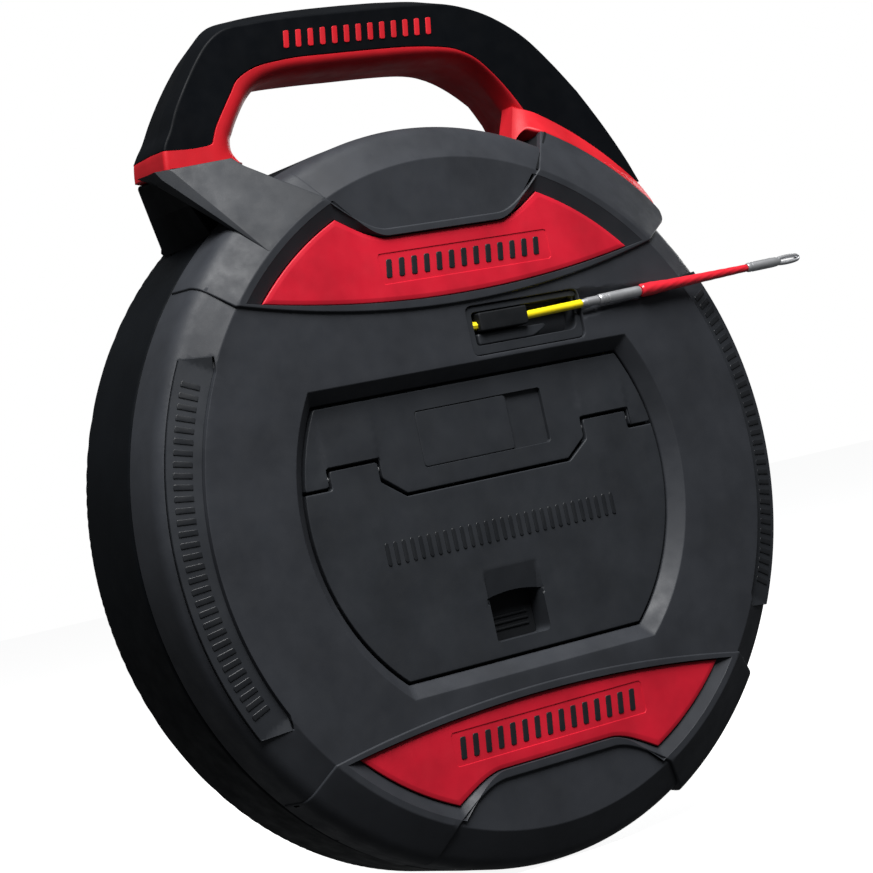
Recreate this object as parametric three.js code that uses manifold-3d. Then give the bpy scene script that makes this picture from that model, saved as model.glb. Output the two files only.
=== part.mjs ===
// Fish tape reel: a slim round case with a carrying handle, a turning cage that stores the rod,
// a lidded bay for accessories and a rod end with a swivelling leader.
// Millimetres. X is to the right, Y runs from the front face to the back, Z is up.
// The origin is under the middle of the case, on the surface that it stands on.

import * as THREE from 'three';
import { mergeVertices } from 'three/addons/utils/BufferGeometryUtils.js';
import { ConvexGeometry } from 'three/addons/geometries/ConvexGeometry.js';
import Module from 'manifold-3d';

const wasm = await Module();
wasm.setup();

// ---------------------------------------------------------------- driving dimensions
const FACE_R = 135;                     // radius of the flat front face
const DEPTH = 70;                       // overall thickness of the case
const WALL = 2.6;                       // moulded wall
const GAP = 0.3;                        // clearance between pieces that touch
const SLIT = 1.2;                       // visible slit round the lid
const BAND = 0.022 * FACE_R;            // how far the frames stand above the rim
const INNER_SEGMENTS = 48;              // steps in one turn of the parts inside the case
const PROUD = 1.2;                      // how far the frames stand above the face
const SEGMENTS = 72;                    // steps in one turn of a large round part

// ---------------------------------------------------------------- worked-out dimensions
const CASE_R = 1.113 * FACE_R;          // widest radius of the case
const HUB_Z = CASE_R;                   // height of the case's axis above the ground
const FRONT = -DEPTH / 2;               // front of the proud plates
const BACK = DEPTH / 2;                 // back of the case
const AHEAD = FRONT - 5;                // in front of everything, where cuts start
const BEHIND = BACK + 5;                // behind everything, where cuts end
const FACE = FRONT + PROUD + GAP;       // flat front face
const SPLIT = FACE + 0.222 * FACE_R;    // joint line between the two shells
const SHOULDER_R = 1.098 * FACE_R;      // outer edge of the sloping shoulder
const SHOULDER_Y = FACE + 0.055 * FACE_R;

const frac = (k) => k * FACE_R;         // a length as a share of the face radius
const depthAt = (k) => FACE + k * FACE_R;

// ---------------------------------------------------------------- solids
function signedVolume(geometry) {
  const p = geometry.getAttribute('position');
  const index = geometry.getIndex();
  const [a, b, c] = [new THREE.Vector3(), new THREE.Vector3(), new THREE.Vector3()];
  let volume = 0;
  for (let i = 0; i < index.count; i += 3) {
    a.fromBufferAttribute(p, index.getX(i));
    b.fromBufferAttribute(p, index.getX(i + 1));
    c.fromBufferAttribute(p, index.getX(i + 2));
    volume += a.dot(b.cross(c)) / 6;
  }
  return volume;
}

// Merges equal vertices, drops collapsed triangles and turns the faces outwards.
function closed(geometry) {
  const plain = geometry.clone();
  plain.deleteAttribute('normal');
  plain.deleteAttribute('uv');
  const merged = mergeVertices(plain, 1e-4);
  const source = merged.getIndex();
  const kept = [];
  for (let i = 0; i < source.count; i += 3) {
    const [a, b, c] = [source.getX(i), source.getX(i + 1), source.getX(i + 2)];
    if (a !== b && b !== c && c !== a) kept.push(a, b, c);
  }
  merged.setIndex(kept);
  if (signedVolume(merged) < 0) {
    for (let i = 0; i < kept.length; i += 3) [kept[i + 1], kept[i + 2]] = [kept[i + 2], kept[i + 1]];
    merged.setIndex(kept);
  }
  return merged;
}

function solid(geometry) {
  const g = closed(geometry);
  const mesh = new wasm.Mesh({
    numProp: 3,
    vertProperties: new Float32Array(g.getAttribute('position').array),
    triVerts: new Uint32Array(g.getIndex().array),
  });
  return new wasm.Manifold(mesh);
}

function geometryOf(manifold) {
  const mesh = manifold.getMesh();
  const g = new THREE.BufferGeometry();
  g.setAttribute('position', new THREE.BufferAttribute(new Float32Array(mesh.vertProperties), 3));
  g.setIndex(new THREE.BufferAttribute(new Uint32Array(mesh.triVerts), 1));
  return g;
}

const joinAll = (solids) => solids.reduce((sum, next) => sum.add(next));
const cutAll = (body, cuts) => cuts.reduce((rest, cut) => rest.subtract(cut), body);

// A flat outline in the X-Z plane, thickened from y0 back to y1.
function plate(shape, y0, y1, curveSegments = 12) {
  const g = new THREE.ExtrudeGeometry(shape, { depth: y1 - y0, bevelEnabled: false, curveSegments });
  g.rotateX(Math.PI / 2);
  g.translate(0, y1, 0);
  return solid(g);
}

// A body between one outline at y0 and another outline, with as many points, at y1.
function taper(frontShape, backShape, y0, y1, curveSegments = 12) {
  const front = frontShape.extractPoints(curveSegments).shape;
  const back = backShape.extractPoints(curveSegments).shape;
  if (THREE.ShapeUtils.isClockWise(front)) [front, back].forEach((points) => points.reverse());
  const count = front.length;
  const faces = THREE.ShapeUtils.triangulateShape(front, []);
  const positions = [];
  front.forEach((p) => positions.push(p.x, y0, p.y));
  back.forEach((p) => positions.push(p.x, y1, p.y));
  const index = [];
  faces.forEach(([a, b, c]) => index.push(a, b, c, c + count, b + count, a + count));
  for (let i = 0; i < count; i += 1) {
    const j = (i + 1) % count;
    index.push(i, i + count, j, j, i + count, j + count);
  }
  const g = new THREE.BufferGeometry();
  g.setAttribute('position', new THREE.Float32BufferAttribute(positions, 3));
  g.setIndex(index);
  return solid(g);
}

// A profile of [radius, y] pairs turned about the case's axis.
function turned(profile, segments = SEGMENTS) {
  return solid(new THREE.LatheGeometry(profile.map(([r, y]) => new THREE.Vector2(r, y)), segments));
}

function ring(r0, r1, y0, y1, segments = SEGMENTS) {
  return turned([[r0, y0], [r1, y0], [r1, y1], [r0, y1], [r0, y0]], segments);
}

const disc = (r, y0, y1, segments = SEGMENTS) => turned([[0, y0], [r, y0], [r, y1], [0, y1]], segments);

// A round bar about a line parallel to Y.
const pegY = (x, z, r, y0, y1, segments = 16) => disc(r, y0, y1, segments).translate([x, 0, z]);

// A round bar about a line parallel to X.
function pegX(y, z, r, x0, x1, segments = 16) {
  const g = new THREE.CylinderGeometry(r, r, x1 - x0, segments);
  g.rotateZ(Math.PI / 2);
  g.translate((x0 + x1) / 2, y, z);
  return solid(g);
}

function block(x0, x1, y0, y1, z0, z1) {
  const g = new THREE.BoxGeometry(x1 - x0, y1 - y0, z1 - z0);
  g.translate((x0 + x1) / 2, (y0 + y1) / 2, (z0 + z1) / 2);
  return solid(g);
}

const polygon = (points) => new THREE.Shape(points.map(([x, z]) => new THREE.Vector2(x, z)));

function roundedRectangle(x0, x1, z0, z1, r) {
  const s = new THREE.Shape();
  s.moveTo(x0 + r, z0);
  s.lineTo(x1 - r, z0);
  s.absarc(x1 - r, z0 + r, r, -Math.PI / 2, 0, false);
  s.lineTo(x1, z1 - r);
  s.absarc(x1 - r, z1 - r, r, 0, Math.PI / 2, false);
  s.lineTo(x0 + r, z1);
  s.absarc(x0 + r, z1 - r, r, Math.PI / 2, Math.PI, false);
  s.lineTo(x0, z0 + r);
  s.absarc(x0 + r, z0 + r, r, Math.PI, 1.5 * Math.PI, false);
  return s;
}

// ---------------------------------------------------------------- outlines seen from the front
// The bay: two arcs about the axis, cut off by a straight top and a straight bottom.
function bayOutline(r, top, bottom) {
  const s = new THREE.Shape();
  s.moveTo(-Math.sqrt(r * r - top * top), top);
  s.lineTo(Math.sqrt(r * r - top * top), top);
  s.absarc(0, 0, r, Math.asin(top / r), Math.asin(bottom / r), true);
  s.lineTo(-Math.sqrt(r * r - bottom * bottom), bottom);
  s.absarc(0, 0, r, Math.PI - Math.asin(bottom / r), Math.PI - Math.asin(top / r), true);
  return s;
}
const BAY_R = frac(0.7);
const BAY_TOP = frac(0.381);
const BAY_BOTTOM = frac(-0.536);
const BEVEL = frac(0.04);               // width and depth of the bay's sloping wall
const bay = (inset) => bayOutline(BAY_R - inset, BAY_TOP - inset, BAY_BOTTOM + inset);

// Outline of half a seam, from the middle outwards, mirrored into a full curve.
function mirrored(half) {
  const left = half.slice().reverse().filter(([x]) => x > 0).map(([x, z]) => [-x, z]);
  return left.concat(half);
}

// The shallow bowed seam that runs across the face below the upper frame.
function bowedSeam(middle, bow, halfWidth, steps = 8) {
  const half = [];
  for (let i = 0; i <= steps; i += 1) {
    const x = (halfWidth * i) / steps;
    half.push([x, middle + (bow * x * x) / FACE_R]);
  }
  return half;
}

// The S-shaped seam that leaves the flat middle stretch and climbs to the rim.
function archSeam(level, flat, shoulderX, shoulderZ, steps = 6) {
  const half = [[0, level], [flat, level]];
  for (let i = 1; i <= steps; i += 1) {
    const t = i / steps;
    const lift = t * t * (1.6 - 0.6 * t);
    half.push([flat + (shoulderX - flat) * t, level + (shoulderZ - level) * lift]);
  }
  return half;
}

// A frame's outline: out along its inner seam, back along its outer seam.
function frameOutline(inner, outer) {
  return polygon(mirrored(inner).concat(mirrored(outer).reverse()));
}

// The red plate in a frame: bowed long edge, arcs towards the rim, S-curves to a flat middle.
const PLATE_R = frac(0.937);
function plateOutline({ edge, bow, tipX, flatLevel, flat, hornX }, inset) {
  const up = Math.sign(edge);
  const half = bowedSeam(Math.abs(edge) + inset, bow, tipX - inset * 1.5, 6);
  const from = Math.atan2(half[half.length - 1][1] + inset * 0.5, tipX - inset * 1.5);
  const to = Math.acos((hornX + inset * 0.4) / (PLATE_R - inset));
  const arc = [];
  for (let i = 1; i <= 6; i += 1) {
    const a = from + ((to - from) * i) / 6;
    arc.push([(PLATE_R - inset) * Math.cos(a), (PLATE_R - inset) * Math.sin(a)]);
  }
  const [endX, endZ] = arc[arc.length - 1];
  const curve = archSeam(Math.abs(flatLevel) - inset, flat, endX, endZ).slice(0, -1).reverse();
  const outline = half.concat(arc, curve);
  const full = outline.concat(outline.slice(1, -1).reverse().map(([x, z]) => [-x, z]));
  return polygon(full.map(([x, z]) => [x, up * z]));
}
const UPPER_PLATE = {
  edge: frac(0.6), bow: 0.1, tipX: frac(0.68), flatLevel: frac(0.79), flat: frac(0.2), hornX: frac(0.37),
};
const LOWER_PLATE = {
  edge: frac(-0.61), bow: 0.12, tipX: frac(0.69),
  flatLevel: frac(-0.795), flat: frac(0.2), hornX: frac(0.375),
};
const upperPlate = (inset) => plateOutline(UPPER_PLATE, inset);
const lowerPlate = (inset) => plateOutline(LOWER_PLATE, inset);

// ---------------------------------------------------------------- shells
// The case's outer profile, moved outwards by `out` on the face and `side` on the rim.
const outerProfile = (out, side) => [
  [0, FACE - out],
  [FACE_R + out * 0.3, FACE - out],
  [SHOULDER_R + side, SHOULDER_Y],
  [CASE_R - 0.4 + side, SPLIT - 0.8],
];
const CHAMBER_R = CASE_R - WALL - 0.4;

const PORT = { x0: frac(0.012), x1: frac(0.44), z0: frac(0.395), z1: frac(0.547), back: FACE + 9 };

// The rod leaves the port along this line: nearly level, rising and leaning to the front.
const ROD_R = 1.7;
const ROD_START = new THREE.Vector3(frac(0.235), FACE + 0.9, frac(0.492));
const ROD_DIR = new THREE.Vector3(1, -0.055, 0.027).normalize();
const rodPoint = (along) => ROD_START.clone().addScaledVector(ROD_DIR, along);

// A bar turned about the rod's line: [distance along it, radius] pairs.
function onRod(profile, segments = 12) {
  const g = new THREE.LatheGeometry(profile.map(([along, r]) => new THREE.Vector2(r, along)), segments);
  g.applyQuaternion(new THREE.Quaternion().setFromUnitVectors(new THREE.Vector3(0, 1, 0), ROD_DIR));
  g.translate(ROD_START.x, ROD_START.y, ROD_START.z);
  return solid(g);
}

const rodTrough = () => onRod([[0, 0], [0, 3.4], [70, 3.4], [70, 0]]);

const SCREW_RING_R = frac(1.045);
const screwAngles = [25, 90, 155, 205, 270, 335].map((a) => (a * Math.PI) / 180);
const screwPlaces = screwAngles.map((a) => [SCREW_RING_R * Math.cos(a), SCREW_RING_R * Math.sin(a)]);

// The rod's hidden lead, from the guide to the inside of the coil.
const LEAD_ROUTE = [
  [frac(0.05), FACE + 2.4, frac(0.4865)],
  [-10, FACE + 5.2, 66.0],
  [-34, FACE + 9.5, 65.0],
  [-58, FACE + 14, 60.5],
  [-80, FACE + 18, 48],
  [-95, FACE + 22, 27],
  [-102, FACE + 26, 2],
  [-103.5, FACE + 30, -24],
].map((p) => new THREE.Vector3(...p));

function tube(points, radius, steps, sides = 8) {
  const section = new THREE.Shape();
  section.absarc(0, 0, radius, 0, 2 * Math.PI, false);
  const path = new THREE.CatmullRomCurve3(points);
  const options = { steps, extrudePath: path, curveSegments: sides / 2, bevelEnabled: false };
  return solid(new THREE.ExtrudeGeometry(section, options));
}

function frontShell() {
  const inside = [
    [CHAMBER_R, SPLIT], [SHOULDER_R - WALL, SHOULDER_Y + 1], [FACE_R - 1, FACE + WALL], [0, FACE + WALL],
  ];
  const lip = [[CASE_R - 1.2, SPLIT]];
  const skin = turned(outerProfile(0, 0).concat(lip, inside));
  const bezel = plate(bay(-WALL), FACE + 1, FACE + BEVEL + 1.5);
  const bevelCut = taper(bay(-0.6), bay(BEVEL), FACE - 0.6, FACE + BEVEL);
  const bayCut = plate(bay(BEVEL), FACE + BEVEL - 0.1, FACE + 20);
  const portCut = plate(roundedRectangle(PORT.x0, PORT.x1, PORT.z0, PORT.z1, 3), FACE - 1, FACE + 20);
  const leadRoom = tube(LEAD_ROUTE.slice(0, 4), ROD_R + 0.9, 8, 6);
  const bayFloor = FACE + BEVEL;
  const wallFoot = BAY_BOTTOM + BEVEL;
  const latchRoom = block(-6.5, 6.5, bayFloor, bayFloor + 4, wallFoot - 2, wallFoot + 1);
  return cutAll(skin.add(bezel), [bevelCut, bayCut, portCut, rodTrough(), leadRoom, latchRoom]);
}

function rearShell() {
  const outer = [
    [0, BACK], [CASE_R - 5, BACK], [CASE_R - 1.4, BACK - 1.6], [CASE_R, BACK - 5],
    [CASE_R, SPLIT + 1.4], [CASE_R - 1.2, SPLIT + GAP],
  ];
  const inner = [
    [CHAMBER_R, SPLIT + GAP], [CHAMBER_R, BACK - 5], [CHAMBER_R - 4, BACK - WALL], [0, BACK - WALL],
  ];
  const cup = turned(outer.concat(inner));
  const posts = screwPlaces.map(([x, z]) => pegY(x, z, 4, SHOULDER_Y + 6, BACK - WALL + 0.5, 12));
  const rib = ring(frac(0.52), frac(0.54), BACK - WALL - 5, BACK - WALL + 0.5, INNER_SEGMENTS);
  const holes = screwPlaces.map(([x, z]) => pegY(x, z, 1.9 + GAP, SHOULDER_Y + 9, BACK + 1, 10));
  const heads = screwPlaces.map(([x, z]) => pegY(x, z, 3.4 + GAP, BACK - 3 - GAP, BACK + 1, 10));
  const axleHole = disc(3 + GAP, BACK - WALL - 8, BACK + 1, 24);
  const axleHead = disc(6 + GAP, BACK - 1.6 - GAP, BACK + 1, 24);
  return cutAll(joinAll([cup, rib, ...posts]), [...holes, ...heads, axleHole, axleHead]);
}

// ---------------------------------------------------------------- frames, plates and pads
// The arches that leave the flat middle of the upper and the lower frame.
const scaled = (half) => half.map(([x, z]) => [frac(x), frac(z)]);
const innerUpper = [...bowedSeam(frac(0.58), 0.128, frac(0.765)), ...scaled([[0.83, 0.735], [1.1, 0.98]])];
const innerLower = [...bowedSeam(frac(0.585), 0.12, frac(0.76)), ...scaled([[0.83, 0.73], [1.1, 0.97]])];
const outerUpper = [
  ...archSeam(frac(0.81), frac(0.2), frac(0.39), frac(0.92)), ...scaled([[0.62, 1.16], [1.1, 1.3]]),
];
const outerLower = [
  ...archSeam(frac(0.805), frac(0.2), frac(0.39), frac(0.92)), ...scaled([[0.56, 1.16], [1.1, 1.3]]),
];
const flipped = (half) => half.map(([x, z]) => [x, -z]);

const frameSkin = (side) => turned([
  [frac(0.5), FACE - GAP],
  ...outerProfile(GAP, GAP).slice(1),
  ...outerProfile(PROUD, side).slice(1).reverse(),
  [frac(0.5), FACE - PROUD],
  [frac(0.5), FACE - GAP],
]);

// The cone that carries the shoulder outwards under the right-hand root of the handle.
const CONE_R = frac(1.172);
const CONE_Y = depthAt(0.098);
function cone() {
  const arc = turned([
    [FACE_R + 1.5, FACE - GAP], [FACE_R + 0.5, FACE - PROUD], [CONE_R, CONE_Y], [CONE_R, SPLIT - 8],
    [CASE_R + GAP, SPLIT - 8], [SHOULDER_R + GAP + 0.3, SHOULDER_Y], [FACE_R + 1.5, FACE - GAP],
  ]);
  const span = polygon(scaled([
    [0.395, 0.92], [0.53, 1.045], [0.62, 1.16], [1.2, 1.2], [1.2, 0.93], [0.915, 0.74], [0.775, 0.662],
  ]));
  return arc.intersect(plate(span, AHEAD, BACK));
}

// The wedge on the left that rises from the frame to the handle, undercut on its outer side.
function ear() {
  const onFace = [[-0.395, 0.922], [-0.625, 0.8]].map(([x, z]) => [frac(x), FACE - PROUD, frac(z)]);
  const behind = [
    [-0.783, 0.16, 1.084], [-0.6, 0.115, 1.084], [-0.487, 0.055, 0.994], [-0.6, 0.06, 0.9],
    [-0.6, 0.2, 1.084], [-0.755, 0.2, 1.078], [-0.487, 0.12, 0.994],
  ].map(([x, d, z]) => [frac(x), depthAt(d), frac(z)]);
  const points = [...onFace, ...behind].map((corner) => new THREE.Vector3(...corner));
  const core = turned([
    [0, FACE - GAP], ...outerProfile(GAP, GAP).slice(1), [CASE_R + GAP, BACK], [0, BACK],
  ]);
  return solid(new ConvexGeometry(points)).subtract(core);
}

function upperFrame() {
  const band = frameSkin(BAND).intersect(plate(frameOutline(innerUpper, outerUpper), AHEAD, SPLIT - 1));
  return joinAll([band, cone(), ear()]).subtract(plate(upperPlate(-2 * GAP), AHEAD, BACK));
}

function lowerFrame() {
  const outline = frameOutline(flipped(innerLower), flipped(outerLower));
  const band = frameSkin(BAND).intersect(plate(outline, AHEAD, SPLIT - 1));
  return band.subtract(plate(lowerPlate(-2 * GAP), AHEAD, BACK));
}

function redPlate(outline) {
  const bevelBack = FRONT + 0.8;
  return taper(outline(1), outline(0), FRONT, bevelBack).add(plate(outline(0), bevelBack, FACE - GAP));
}

function sidePad(side) {
  const skin = turned([
    [frac(0.993), FACE - GAP], [FACE_R, FACE - GAP], [SHOULDER_R + 0.6, SHOULDER_Y],
    [SHOULDER_R - 0.5, SHOULDER_Y - 1.6], [FACE_R + 0.4, FACE - PROUD], [frac(0.993), FACE - PROUD],
    [frac(0.993), FACE - GAP],
  ]);
  const far = frac(1.3);
  const sector = polygon([
    [0, 0], [side * far * Math.cos(0.51), far * Math.sin(0.51)], [side * far * 1.1, 0],
    [side * far * Math.cos(0.51), -far * Math.sin(0.51)],
  ]);
  return skin.intersect(plate(sector, AHEAD, BACK));
}

// ---------------------------------------------------------------- handle
const HANDLE_FRONT = depthAt(0.18);
const HANDLE_CREST = depthAt(0.28);     // where the handle is highest and widest
const HANDLE_BACK = depthAt(0.445);
const FOOT = 1.088;                     // level where the handle ends and its roots begin
const RING_TOP = 1.157;                 // top of the soft ring round the left leg
// Half widths and heights of the handle's edges, in face radii, from the left foot to the right one.
const handleEdge = [
  [-0.783, FOOT], [-0.775, RING_TOP], [-0.7, 1.26], [-0.647, 1.327], [-0.594, 1.39], [-0.544, 1.44],
  [-0.482, 1.474], [-0.39, 1.489], [-0.28, 1.497], [0, 1.5], [0.16, 1.501], [0.3, 1.496], [0.415, 1.47],
  [0.509, 1.427], [0.598, 1.363], [0.681, 1.27], [0.752, 1.176], [0.805, FOOT],
];
const handleOpening = [
  [0.52, FOOT], [0.505, 1.135], [0.478, 1.19], [0.44, 1.245], [0.392, 1.292], [0.345, 1.315], [0.27, 1.329],
  [0, 1.333], [-0.29, 1.329], [-0.355, 1.318], [-0.4, 1.3], [-0.435, 1.273], [-0.465, 1.24], [-0.495, 1.2],
  [-0.52, 1.16], [-0.535, FOOT],
];
const liningEdge = [
  [-0.617, 0.9], [-0.617, RING_TOP], [-0.585, 1.199], [-0.514, 1.29], [-0.485, 1.325], [-0.44, 1.349],
  [-0.385, 1.364], [-0.27, 1.375], [0, 1.376], [0.15, 1.373], [0.27, 1.362], [0.333, 1.347], [0.393, 1.314],
  [0.448, 1.258], [0.495, 1.197], [0.534, 1.135], [0.548, 0.9],
];

// The handle's outline farther back: narrower, and higher by `lift` along the top of the grip.
function handleOutline(narrower, lift, liftFrom) {
  const crown = 1.5;
  const edge = handleEdge.map(([x, z]) => {
    const share = Math.min(Math.max((z - liftFrom) / (crown - liftFrom), 0), 1);
    return [x * (1 - narrower), z + lift * share ** 2];
  });
  return polygon(scaled([...edge, ...handleOpening]));
}

const crestOutline = handleOutline(0.03, 0.041, 1.3);
const handleBody = taper(handleOutline(0, 0, 0), crestOutline, HANDLE_FRONT, HANDLE_CREST)
  .add(taper(crestOutline, handleOutline(0.08, 0.034, 1.44), HANDLE_CREST, HANDLE_BACK));
const belowFoot = block(frac(-1), frac(1), AHEAD, BEHIND, 0, frac(FOOT));
const liningZone = plate(polygon(scaled(liningEdge)), AHEAD, BEHIND);
const ringZone = (margin) => block(frac(-1), frac(-0.4), AHEAD, BEHIND, 0, frac(RING_TOP) + margin);

// The black core of the handle, outside the lining and above the ring.
function handleCore() {
  const room = plate(polygon(scaled(liningEdge).map(([x, z]) => [x * 1.004, z + GAP])), AHEAD, BEHIND);
  return cutAll(handleBody, [room, ringZone(GAP), belowFoot]);
}

// The soft lining of the handle's opening, with a ring round the foot of the left leg.
function handleGrip() {
  const lining = handleBody.intersect(liningZone);
  const footRing = handleBody.intersect(ringZone(0));
  return lining.add(footRing).subtract(belowFoot);
}

const handleScrewPlaces = scaled([[-0.64, 0.96], [-0.64, 1.03], [0.64, 1.03], [0.75, 0.94]]);

// A root joins a leg of the handle to the rim of the case.
function handleRoot(outline, narrower) {
  const back = outline.map(([x, z]) => [x * (1 - narrower), z]);
  const solidRoot = taper(polygon(scaled(outline)), polygon(scaled(back)), HANDLE_FRONT, HANDLE_BACK);
  const caseRoom = disc(CASE_R + GAP, AHEAD, BEHIND);
  const bandRoom = disc(CASE_R + BAND + GAP, AHEAD, SPLIT - 1 + GAP);
  const handleRoom = block(frac(-1), frac(1), AHEAD, BEHIND, frac(FOOT) - GAP, frac(2));
  const screwRoom = handleScrewPlaces.map(([x, z]) => pegY(x, z, 2.2 + GAP, BACK - 30, BEHIND, 10));
  return cutAll(solidRoot, [caseRoom, bandRoom, handleRoom, ...screwRoom]);
}

const leftRootEdge = [[-0.5, 0.9], [-0.545, 1.11], [-0.77, 1.11], [-0.712, 0.985], [-0.68, 0.83]];
const rightRootEdge = [
  [0.55, 0.9], [0.53, 1.11], [0.792, 1.11], [0.822, 1.056], [0.85, 0.99], [0.884, 0.928], [0.91, 0.885],
  [0.92, 0.82], [0.8, 0.7],
];

function leftRoot() {
  const wedgeRoom = block(frac(-1), frac(-0.4), FRONT, depthAt(0.2) + GAP, 0, frac(1.2));
  return handleRoot(leftRootEdge, 0.045).subtract(wedgeRoom);
}

function rightRoot() {
  const [coneFront, coneBack] = [CONE_Y - GAP, SPLIT - 8 + GAP];
  const coneRoom = turned([
    [CASE_R - 3, coneFront - 12], [CONE_R + 6, coneFront - 12], [CONE_R + 6, coneFront],
    [CONE_R + GAP, coneFront], [CONE_R + GAP, coneBack], [CASE_R - 3, coneBack], [CASE_R - 3, coneFront - 12],
  ]);
  return handleRoot(rightRootEdge, 0.065).subtract(coneRoom);
}

// The soft strip along the top of the cone, in front of the right root.
function gripStrip() {
  const [low, high] = [CONE_R + GAP, frac(1.252)];
  const stripBack = HANDLE_FRONT - 2 * GAP;
  const band = turned([
    [low, CONE_Y + GAP], [high, depthAt(0.15)], [high, stripBack], [low, stripBack], [low, CONE_Y + GAP],
  ]);
  const span = polygon(scaled([[0.47, 1.06], [0.5, 1.15], [0.7, 1.2], [1.2, 1.1], [0.9, 0.775]]));
  return band.intersect(plate(span, FRONT, BACK));
}

// ---------------------------------------------------------------- bay, lid and latch
const INSERT = BEVEL + SLIT;            // how far the lid's outline lies inside the bay's
const LID_FRONT = depthAt(0.036);
const LID_BACK = LID_FRONT + 3;
const HINGE_Y = LID_FRONT + 2.5;
const HINGE_Z = frac(0.13);
const KNUCKLE_R = 2.4;
const PIN_R = 1.1;
const notch = { in: frac(0.375), out: frac(0.56), top: frac(0.16), level: frac(0.1054) };
const tongue = { half: frac(0.3), bottom: frac(0.045), shoulder: frac(0.1) };

// Area above the split line between the fixed panel and the lid, moved down by `drop`.
function aboveSplit(drop) {
  const n = drop > 0 ? SLIT : 0;
  const half = [
    [0, tongue.bottom], [tongue.half, tongue.bottom], [notch.in, tongue.shoulder], [notch.in, notch.top],
    [notch.out, notch.top], [notch.out, notch.level], [frac(1), notch.level],
  ];
  const moved = half.map(([x, z], i) => {
    const sideways = i === 2 || i === 3 ? n : (i === 4 || i === 5 ? -n : (i === 1 ? n * 0.5 : 0));
    return [x + sideways, z - drop];
  });
  return polygon(mirrored(moved).concat([[frac(1), frac(1)], [-frac(1), frac(1)]]));
}

const SLIDER = { x0: frac(-0.222), x1: frac(0.249), z0: frac(0.105), z1: frac(0.274), length: frac(0.335) };
const SLIDER_TRAVEL = SLIDER.x1 - SLIDER.x0 - SLIDER.length - 2 * GAP;

function hingePanel() {
  const zone = plate(aboveSplit(0), FRONT, BACK);
  const skin = plate(bay(INSERT), LID_FRONT, LID_BACK).intersect(zone);
  const cheeks = [-1, 1].flatMap((side) => [notch.in - 2.6, notch.out + 0.2].map((x) => {
    const [x0, x1] = side > 0 ? [x, x + 2.4] : [-x - 2.4, -x];
    return block(x0, x1, LID_BACK - 0.5, HINGE_Y + 3.4, HINGE_Z - 2, HINGE_Z + 6);
  }));
  const pinRoom = pegX(HINGE_Y, HINGE_Z, PIN_R + GAP, -frac(0.7), frac(0.7), 12);
  const pocket = block(SLIDER.x0, SLIDER.x1, FRONT, LID_FRONT + 1.7, SLIDER.z0, SLIDER.z1);
  const stemMiddle = SLIDER.x0 + GAP + SLIDER.length / 2;
  const middleZ = (SLIDER.z0 + SLIDER.z1) / 2;
  const [slotLeft, slotRight] = [stemMiddle - 5.4, stemMiddle + 5.4 + SLIDER_TRAVEL];
  const slot = block(slotLeft, slotRight, FRONT, BACK, middleZ - 3.4, middleZ + 3.4);
  return cutAll(joinAll([skin, ...cheeks]), [pocket, slot, pinRoom]);
}

function slideButton() {
  const x0 = SLIDER.x0 + GAP;
  const middle = x0 + SLIDER.length / 2;
  const middleZ = (SLIDER.z0 + SLIDER.z1) / 2;
  const [tileFront, tileBack] = [LID_FRONT + 0.2, LID_FRONT + 1.4];
  const tile = block(x0, x0 + SLIDER.length, tileFront, tileBack, SLIDER.z0 + GAP, SLIDER.z1 - GAP);
  const stem = block(middle - 5, middle + 5, LID_FRONT + 1, LID_BACK + 1, middleZ - 3, middleZ + 3);
  const keeper = block(middle - 9, middle + 9, LID_BACK + GAP, LID_BACK + 2, middleZ - 6, middleZ + 6);
  return joinAll([tile, stem, keeper]);
}

const SCOOP = { half: frac(0.1), lip: frac(-0.31), bottom: frac(-0.442), top: frac(-0.225), depth: 9 };

function lid() {
  const zone = plate(aboveSplit(SLIT), FRONT, BACK);
  const skin = plate(bay(INSERT), LID_FRONT, LID_BACK).subtract(zone);
  const wellHalf = SCOOP.half + 1.6;
  const wellBack = LID_FRONT + SCOOP.depth;
  const well = block(-wellHalf, wellHalf, LID_BACK - 0.5, wellBack, SCOOP.bottom - 1.6, SCOOP.lip + 4);
  const knuckles = [-1, 1].map((side) => {
    const [x0, x1] = [side * (notch.in + SLIT + 1), side * (notch.out - SLIT - 1)].sort((a, b) => a - b);
    return pegX(HINGE_Y, HINGE_Z, KNUCKLE_R, x0, x1, 16);
  });
  const window = block(-SCOOP.half, SCOOP.half, FRONT, BACK, SCOOP.bottom, SCOOP.lip);
  const slope = solid(new ConvexGeometry([
    [-SCOOP.half, LID_FRONT - 0.1, SCOOP.top], [SCOOP.half, LID_FRONT - 0.1, SCOOP.top],
    [-SCOOP.half, LID_FRONT - 0.1, SCOOP.lip - 1], [SCOOP.half, LID_FRONT - 0.1, SCOOP.lip - 1],
    [-SCOOP.half, LID_FRONT + 1.8, SCOOP.lip - 1], [SCOOP.half, LID_FRONT + 1.8, SCOOP.lip - 1],
  ].map((p) => new THREE.Vector3(...p))));
  const pinRoom = pegX(HINGE_Y, HINGE_Z, PIN_R + GAP, -frac(0.7), frac(0.7), 12);
  return cutAll(joinAll([skin, well, ...knuckles]), [window, slope, pinRoom]);
}

const LATCH_TRAVEL = 3;
const LATCH_Y = LID_FRONT + SCOOP.depth + GAP;
const LID_BOTTOM = BAY_BOTTOM + INSERT;

function lidLatch() {
  const touch = block(-SCOOP.half, SCOOP.half, LATCH_Y, LATCH_Y + 2.4, SCOOP.bottom - 1.4, SCOOP.lip + 2);
  const bar = block(-5, 5, LATCH_Y, LATCH_Y + 2.4, LID_BOTTOM + 0.6, SCOOP.bottom - 1);
  const bolt = block(-5, 5, LID_BACK + GAP, LATCH_Y + 2.4, LID_BOTTOM - 0.9, SCOOP.bottom - 2 - LATCH_TRAVEL);
  return joinAll([touch, bar, bolt]);
}

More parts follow.
